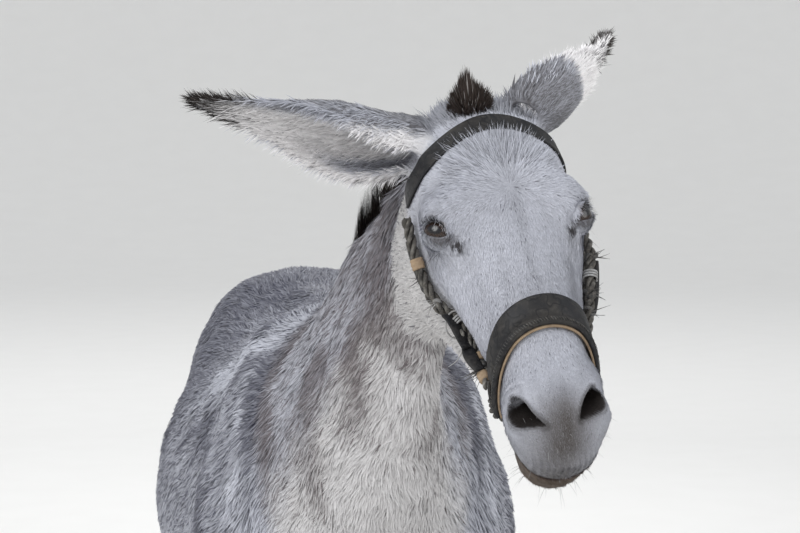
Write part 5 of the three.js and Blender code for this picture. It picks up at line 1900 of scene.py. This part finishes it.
class DONKEY_OT_straps(Operator):
    """Makes the crown strap, and the noseband with its lining and its stitched front edge"""

    bl_idname = "donkey.straps"
    bl_label = "Straps"

    def execute(self, context):
        sizes = context.scene.donkey_halter
        head = MADE["head_map"] = HeadMap(MADE["skin_tree"])
        strap = material_of("Worn strap", worn_strap)
        rng = np.random.default_rng(31)

        def band(line, span, width, profile, lift, ripple=0.0):
            angle = np.arange(-span, span + 0.1, 1.25)[:, None]
            across = np.array([p[0] for p in profile])[None, :]
            high = np.array([p[1] for p in profile])[None, :]
            along = line(angle) + across * width
            wave = ripple * (noise(np.column_stack([
                (angle / 9 + 0 * across).ravel(), (across * 3 + 0 * angle).ravel(),
                0 * (angle + across).ravel()
            ]), 1.0, 51).reshape(angle.shape[0], across.shape[1]) - 0.5)
            centre = head.out(angle, line(angle)) - head.out(angle, along)
            level = high * 1.0 + wave * (high > 0.003) + centre * 0.35
            return head.at(angle, along, lift + level)

        thick = 0.0031
        flat = [(-0.5, 0.0), (-0.5, thick * 0.75), (-0.47, thick), (-0.4, thick * 1.04), (-0.36, thick * 0.9),
                (-0.15, thick), (0.15, thick), (0.36, thick * 0.9), (0.4, thick * 1.04), (0.47, thick),
                (0.5, thick * 0.75), (0.5, 0.0)]
        built("crown_band", [strip(band(crown_line, 107, sizes.crown_width, flat, 0.0004, 0.0006))],
              strap, "strap", ["crown_strap"])

        thick = 0.0048
        shape = [(-0.5, 0.0), (-0.5, thick * 0.7), (-0.47, thick * 0.95), (-0.4, thick * 1.02),
                 (-0.2, thick * 1.1), (0.0, thick * 1.12), (0.14, thick * 1.05),
                 (0.2, thick * 0.78), (0.225, thick * 0.72),
                 (0.26, thick * 1.0), (0.34, thick * 1.22), (0.42, thick * 1.2), (0.48, thick * 0.9),
                 (0.5, thick * 0.5), (0.5, 0.0)]
        shells = [strip(band(nose_line, 117, sizes.band_width, shape, 0.0036, 0.0016))]
        for edge in (-1, 1):
            angle = np.array([edge * a for a in (96, 103, 110, 116, 121)])
            path = head.at(angle, nose_line(angle) + np.array([-4, 2, -3, 3, 0]) * MM, 0.0105)
            shells.append(tube(spline(path, 24), 0.0042, 8, 0.55))
        built("nose_band", shells, strap, "strap", ["noseband"])

        thin = 0.0022
        under = [(-0.52, 0.0), (-0.52, thin), (0.5, thin), (0.53, thin * 1.15),
                 (0.565, thin * 0.9), (0.565, 0.0)]
        built("nose_lining", [strip(band(nose_line, 116, sizes.band_width, under, 0.0008, 0.0008))],
              material_of("Raw lining", raw_lining), "lining", ["noseband_lining"])

        arc = np.radians(1.0) * 0.075
        gap = sizes.stitch_gap / arc
        bars, colours = [], []
        for angle in np.arange(-112, 112, gap):
            slant = 0.35 * gap
            along = nose_line(angle) + np.array([0.33, 0.365, 0.40, 0.43]) * sizes.band_width
            turn = angle + np.array([-slant, -slant * 0.3, slant * 0.3, slant])
            lift = np.array([0.0095, 0.0101, 0.0101, 0.0095]) + rng.normal(0, 0.0002)
            centre = head.out(turn, nose_line(angle)) - head.out(turn, along)
            path = spline(head.at(turn, along, lift + centre * 0.35), 8)
            co, faces = tube(path, 0.0006, 6, 0.7)
            bars.append((co, faces))
            colours.append(np.full((len(co), 3), 0.030 + 0.05 * rng.random()))
        built("nose_stitches", bars, material_of("Plaited cord", plaited_cord), "rope", (), colours)
        return {"FINISHED"}


class DONKEY_OT_cords(Operator):
    """Makes the halter's cheek and chin cords, their knots, wraps and frayed ends"""

    bl_idname = "donkey.cords"
    bl_label = "Cords"

    def execute(self, context):
        head = MADE["head_map"]
        rng = np.random.default_rng(37)
        cord = material_of("Plaited cord", plaited_cord)
        strap = material_of("Worn strap", worn_strap)
        lining = material_of("Raw lining", raw_lining)

        def along_head(points, count, lift=0.0085):
            angle, along = np.array(points, float).T
            turn = spline(np.column_stack([angle, along, 0 * angle]), count)
            return head.at(turn[:, 0], turn[:, 1] * MM, lift)

        def twisted(path, strands, reach, thick, pitch, dark=0.05, pale=0.16, taper=True):
            """Strands that wind round one another."""
            way = unit(np.gradient(path, axis=0))
            side = unit(np.cross(way, [0.3, 0.9, 0.2]))
            over = np.cross(way, side)
            run = np.concatenate([[0], np.cumsum(np.linalg.norm(np.diff(path, axis=0), axis=1))])
            shells, colours = [], []
            for k in range(strands):
                turn = run / pitch * 2 * math.pi + k * 2 * math.pi / strands
                loose = 1 + 0.35 * (noise(np.column_stack([run, run * 0, run * 0 + k]), 0.02, 61 + k) - 0.5)
                round_path = side * np.cos(turn)[:, None] + over * np.sin(turn)[:, None]
                line = path + round_path * (reach * loose)[:, None]
                girth = thick * (0.85 + 0.3 * noise(line, 0.006, 71 + k))
                if taper:
                    girth *= np.clip(np.minimum(run, run[-1] - run) / 0.006 + 0.4, 0, 1)
                co, faces = tube(line, girth, 7)
                fleck = smooth(noise(co, 0.0035, 81 + k), 0.55, 0.75)[:, None]
                tone = dark * (0.7 + 0.6 * rng.random())
                plain = tone * np.array([1, 0.93, 0.84]) * (1 - fleck)
                colours.append(plain + fleck * pale * np.array([1, 0.95, 0.86]))
                shells.append((co, faces))
            return shells, colours

        def frayed(at, way, count, size, dark=0.08):
            shells, colours = [], []
            for _ in range(count):
                aim = unit(way + rng.normal(0, 0.55, 3))
                bend = rng.normal(0, 0.35, 3)
                length = size * (0.4 + 0.9 * rng.random())
                t = np.linspace(0, 1, 6)[:, None]
                line = at + rng.normal(0, 0.0015, 3) + aim * t * length + bend * t * t * length * 0.6
                co, faces = tube(line, 0.0006 * (1.2 - t[:, 0]), 4)
                shells.append((co, faces))
                colours.append(np.full((len(co), 3), dark * (0.6 + 1.6 * rng.random())))
            return shells, colours

        def wrap(path, at, width, reach, turns=0):
            """A band of tape, or turns of string, round a cord at a share of its length."""
            middle = int(at * (len(path) - 1))
            way = unit(path[min(middle + 2, len(path) - 1)] - path[max(middle - 2, 0)])
            centre = path[middle]
            side = unit(np.cross(way, [0.2, 0.9, 0.3]))
            over = np.cross(way, side)
            if turns:
                t = np.linspace(0, turns * 2 * math.pi, turns * 14)
                line = centre + way * ((t / t[-1] - 0.5) * width)[:, None]
                line = line + (side * np.cos(t)[:, None] + over * np.sin(t)[:, None]) * reach
                return tube(line, 0.0013, 6)
            rows = np.linspace(-0.5, 0.5, 9) * width
            ripple = 0.05 * np.cos(np.linspace(-1, 1, 9) * 7)
            swell = reach * (1 + ripple - 0.10 * (np.abs(rows) > width * 0.45))
            angle = np.linspace(0, 2 * math.pi, 18, endpoint=False)
            ring = side * np.cos(angle)[:, None] + over * np.sin(angle)[:, None]
            bump = 1 + 0.05 * np.sin(angle * 3 + 1)[:, None]
            grid = np.array([centre + way * r + ring * bump * s for r, s in zip(rows, swell)])
            return strip(grid)

        def knot(at, size, tone, seed):
            t = np.linspace(0, 2 * math.pi, 64)
            turn = Matrix.Rotation(seed * 1.3, 3, (0.3, 0.5, 0.8))
            line = np.column_stack([
                np.sin(t) + 2 * np.sin(2 * t), np.cos(t) - 2 * np.cos(2 * t), -np.sin(3 * t)
            ]) * size / 3.4
            co, faces = tube(at + line @ np.array(turn).T, size * 0.30, 7)
            return (co, faces), np.full((len(co), 3), tone)

        def add(store, made):
            for box, value in zip(store, made):
                box.extend(value)

        right = along_head([(-97, 118), (-105, 152), (-116, 208), (-126, 262), (-126, 300), (-121, 326)], 90)
        lower = along_head([(-118, 262), (-124, 290), (-121, 318), (-112, 348)], 40, 0.012)
        outer = along_head([(-112, 150), (-124, 200), (-134, 250), (-134, 290), (-126, 322)], 70, 0.007)
        store = ([], [])
        add(store, twisted(right, 3, 0.0036, 0.0030, 0.044))
        add(store, twisted(outer, 2, 0.0024, 0.0022, 0.030, 0.04, 0.24))
        add(store, twisted(lower, 2, 0.0028, 0.0026, 0.036, 0.10, 0.30))
        for share, size, tone, seed in (
            (0.44, 0.0075, 0.30, 1), (0.86, 0.0085, 0.05, 2), (0.93, 0.007, 0.12, 3),
        ):
            shell, tint = knot(right[int(share * 89)] , size, tone, seed)
            store[0].append(shell), store[1].append(tint)
        out = unit(right[60] - from_head(np.array([0, -0.25, -0.066])))
        add(store, frayed(right[82], out * 0.6 + np.array([-0.5, 0, -0.3]), 34, 0.018))
        add(store, frayed(right[38], out + np.array([-0.4, 0, -0.2]), 12, 0.022, 0.25))
        add(store, frayed(outer[10], out, 10, 0.014))
        add(store, frayed(outer[45], out, 14, 0.012))
        built("cheek_cord_right", store[0], cord, "rope", ["cheek_rope_right"], store[1])

        left = along_head([(99, 118), (98, 152), (92, 208), (95, 262), (110, 318)], 80)
        behind = along_head([(106, 140), (104, 200), (104, 250), (113, 312)], 60, 0.009)
        store = ([], [])
        add(store, twisted(left, 3, 0.0036, 0.0030, 0.042))
        add(store, twisted(behind, 2, 0.0026, 0.0024, 0.03, 0.05, 0.2))
        for share, size, tone, seed in (
            (0.5, 0.0085, 0.06, 4), (0.72, 0.009, 0.05, 5), (0.8, 0.0075, 0.09, 6),
        ):
            shell, tint = knot(left[int(share * 79)], size, tone, seed)
            store[0].append(shell), store[1].append(tint)
        aside = unit(left[50] - from_head(np.array([0, -0.25, -0.066])))
        for spot in (12, 38, 56, 64):
            add(store, frayed(left[spot], aside, 12, 0.016, 0.12))
        built("cheek_cord_left", store[0], cord, "rope", ["cheek_rope_left"], store[1])

        angles = np.linspace(122, 238, 80)
        turned = np.where(angles > 180, angles - 360, angles)
        chin = head.at(turned, np.full(80, 0.354), 0.0095)
        for _ in range(6):
            chin[1:-1] = (chin[:-2] + 2 * chin[1:-1] + chin[2:]) / 4
        store = ([], [])
        add(store, twisted(chin, 3, 0.0034, 0.0029, 0.040))
        built("chin_cord", store[0], cord, "rope", ["chin_rope"], store[1])

        tape = [wrap(right, 0.27, 0.013, 0.0078), wrap(right, 0.80, 0.010, 0.0080),
                wrap(lower, 0.82, 0.014, 0.0068), wrap(left, 0.20, 0.010, 0.0078)]
        built("cord_tapes", tape, lining, "lining")
        string = [wrap(right, 0.55, 0.010, 0.0082, 3), wrap(left, 0.62, 0.010, 0.0082, 3)]
        loop = right[48] + out * 0.004
        t = np.linspace(0, 2 * math.pi, 40)
        ring = loop + np.column_stack([np.cos(t) * 0.012, 0 * t, np.sin(t) * 0.016])
        end = right[56]
        dangling = spline([end, end + [-0.006, -0.004, -0.012], end + [-0.014, -0.004, -0.026],
                           end + [-0.024, -0.002, -0.034]], 20)
        string += [tube(ring, 0.0011, 6), tube(dangling, np.linspace(0.0010, 0.0004, 20), 5)]
        shades = [np.full((len(s[0]), 3), 0.42) for s in string]
        built("cord_strings", string, cord, "rope", (), shades)

        flaps = []
        for path, spin, width in (
            ([(-119, 236), (-119, 262), (-117, 288)], 0.5, 0.0105),
            ([(-124, 276), (-116, 300), (-113, 322)], 0.2, 0.008),
            ([(-106, 140), (-112, 170), (-118, 205)], 0.4, 0.005),
            ([(93, 210), (94, 240), (99, 275)], 0.3, 0.007),
        ):
            line = along_head(path, 24, 0.0125)
            swell = width * (0.75 + 0.35 * np.sin(np.linspace(0.3, 2.9, 24)))
            flaps.append(tube(line, swell, 12, 0.26, spin))
        built("strap_pieces", flaps, strap, "strap")
        return {"FINISHED"}


# ------------------------------------------------------------------ the panel and the run

STEPS = ["stage", "skin", "eyes", "hooves", "coat", "mane", "fringe", "straps", "cords"]


class DONKEY_PT_panel(Panel):
    """Lists the donkey's pieces and their sizes"""

    bl_idname = "DONKEY_PT_panel"
    bl_label = "Donkey"
    bl_space_type = "VIEW_3D"
    bl_region_type = "UI"
    bl_category = "Donkey"

    def draw(self, context):
        column = self.layout.column(align=True)
        for step in STEPS:
            column.operator(f"donkey.{step}")
        for key, kind in SETTINGS.items():
            box = self.layout.box()
            for name in kind.__annotations__:
                box.prop(getattr(context.scene, key), name)


SETTINGS = {
    "donkey_stage": DonkeyStage, "donkey_skin": DonkeySkin, "donkey_coat": DonkeyCoat,
    "donkey_eyes": DonkeyEyes, "donkey_hooves": DonkeyHooves, "donkey_hair": DonkeyHair,
    "donkey_halter": DonkeyHalter,
}
OPERATORS = [
    DONKEY_OT_stage, DONKEY_OT_skin, DONKEY_OT_eyes, DONKEY_OT_hooves, DONKEY_OT_coat, DONKEY_OT_mane,
    DONKEY_OT_fringe, DONKEY_OT_straps, DONKEY_OT_cords, DONKEY_PT_panel,
]


def register():
    for kind in [*SETTINGS.values(), *OPERATORS]:
        bpy.utils.register_class(kind)
    for key, kind in SETTINGS.items():
        setattr(bpy.types.Scene, key, PointerProperty(type=kind))


def unregister():
    for key in SETTINGS:
        delattr(bpy.types.Scene, key)
    for kind in reversed([*SETTINGS.values(), *OPERATORS]):
        bpy.utils.unregister_class(kind)


def main():
    register()
    for step in STEPS:
        getattr(bpy.ops.donkey, step)()


if __name__ == "__main__":
    main()
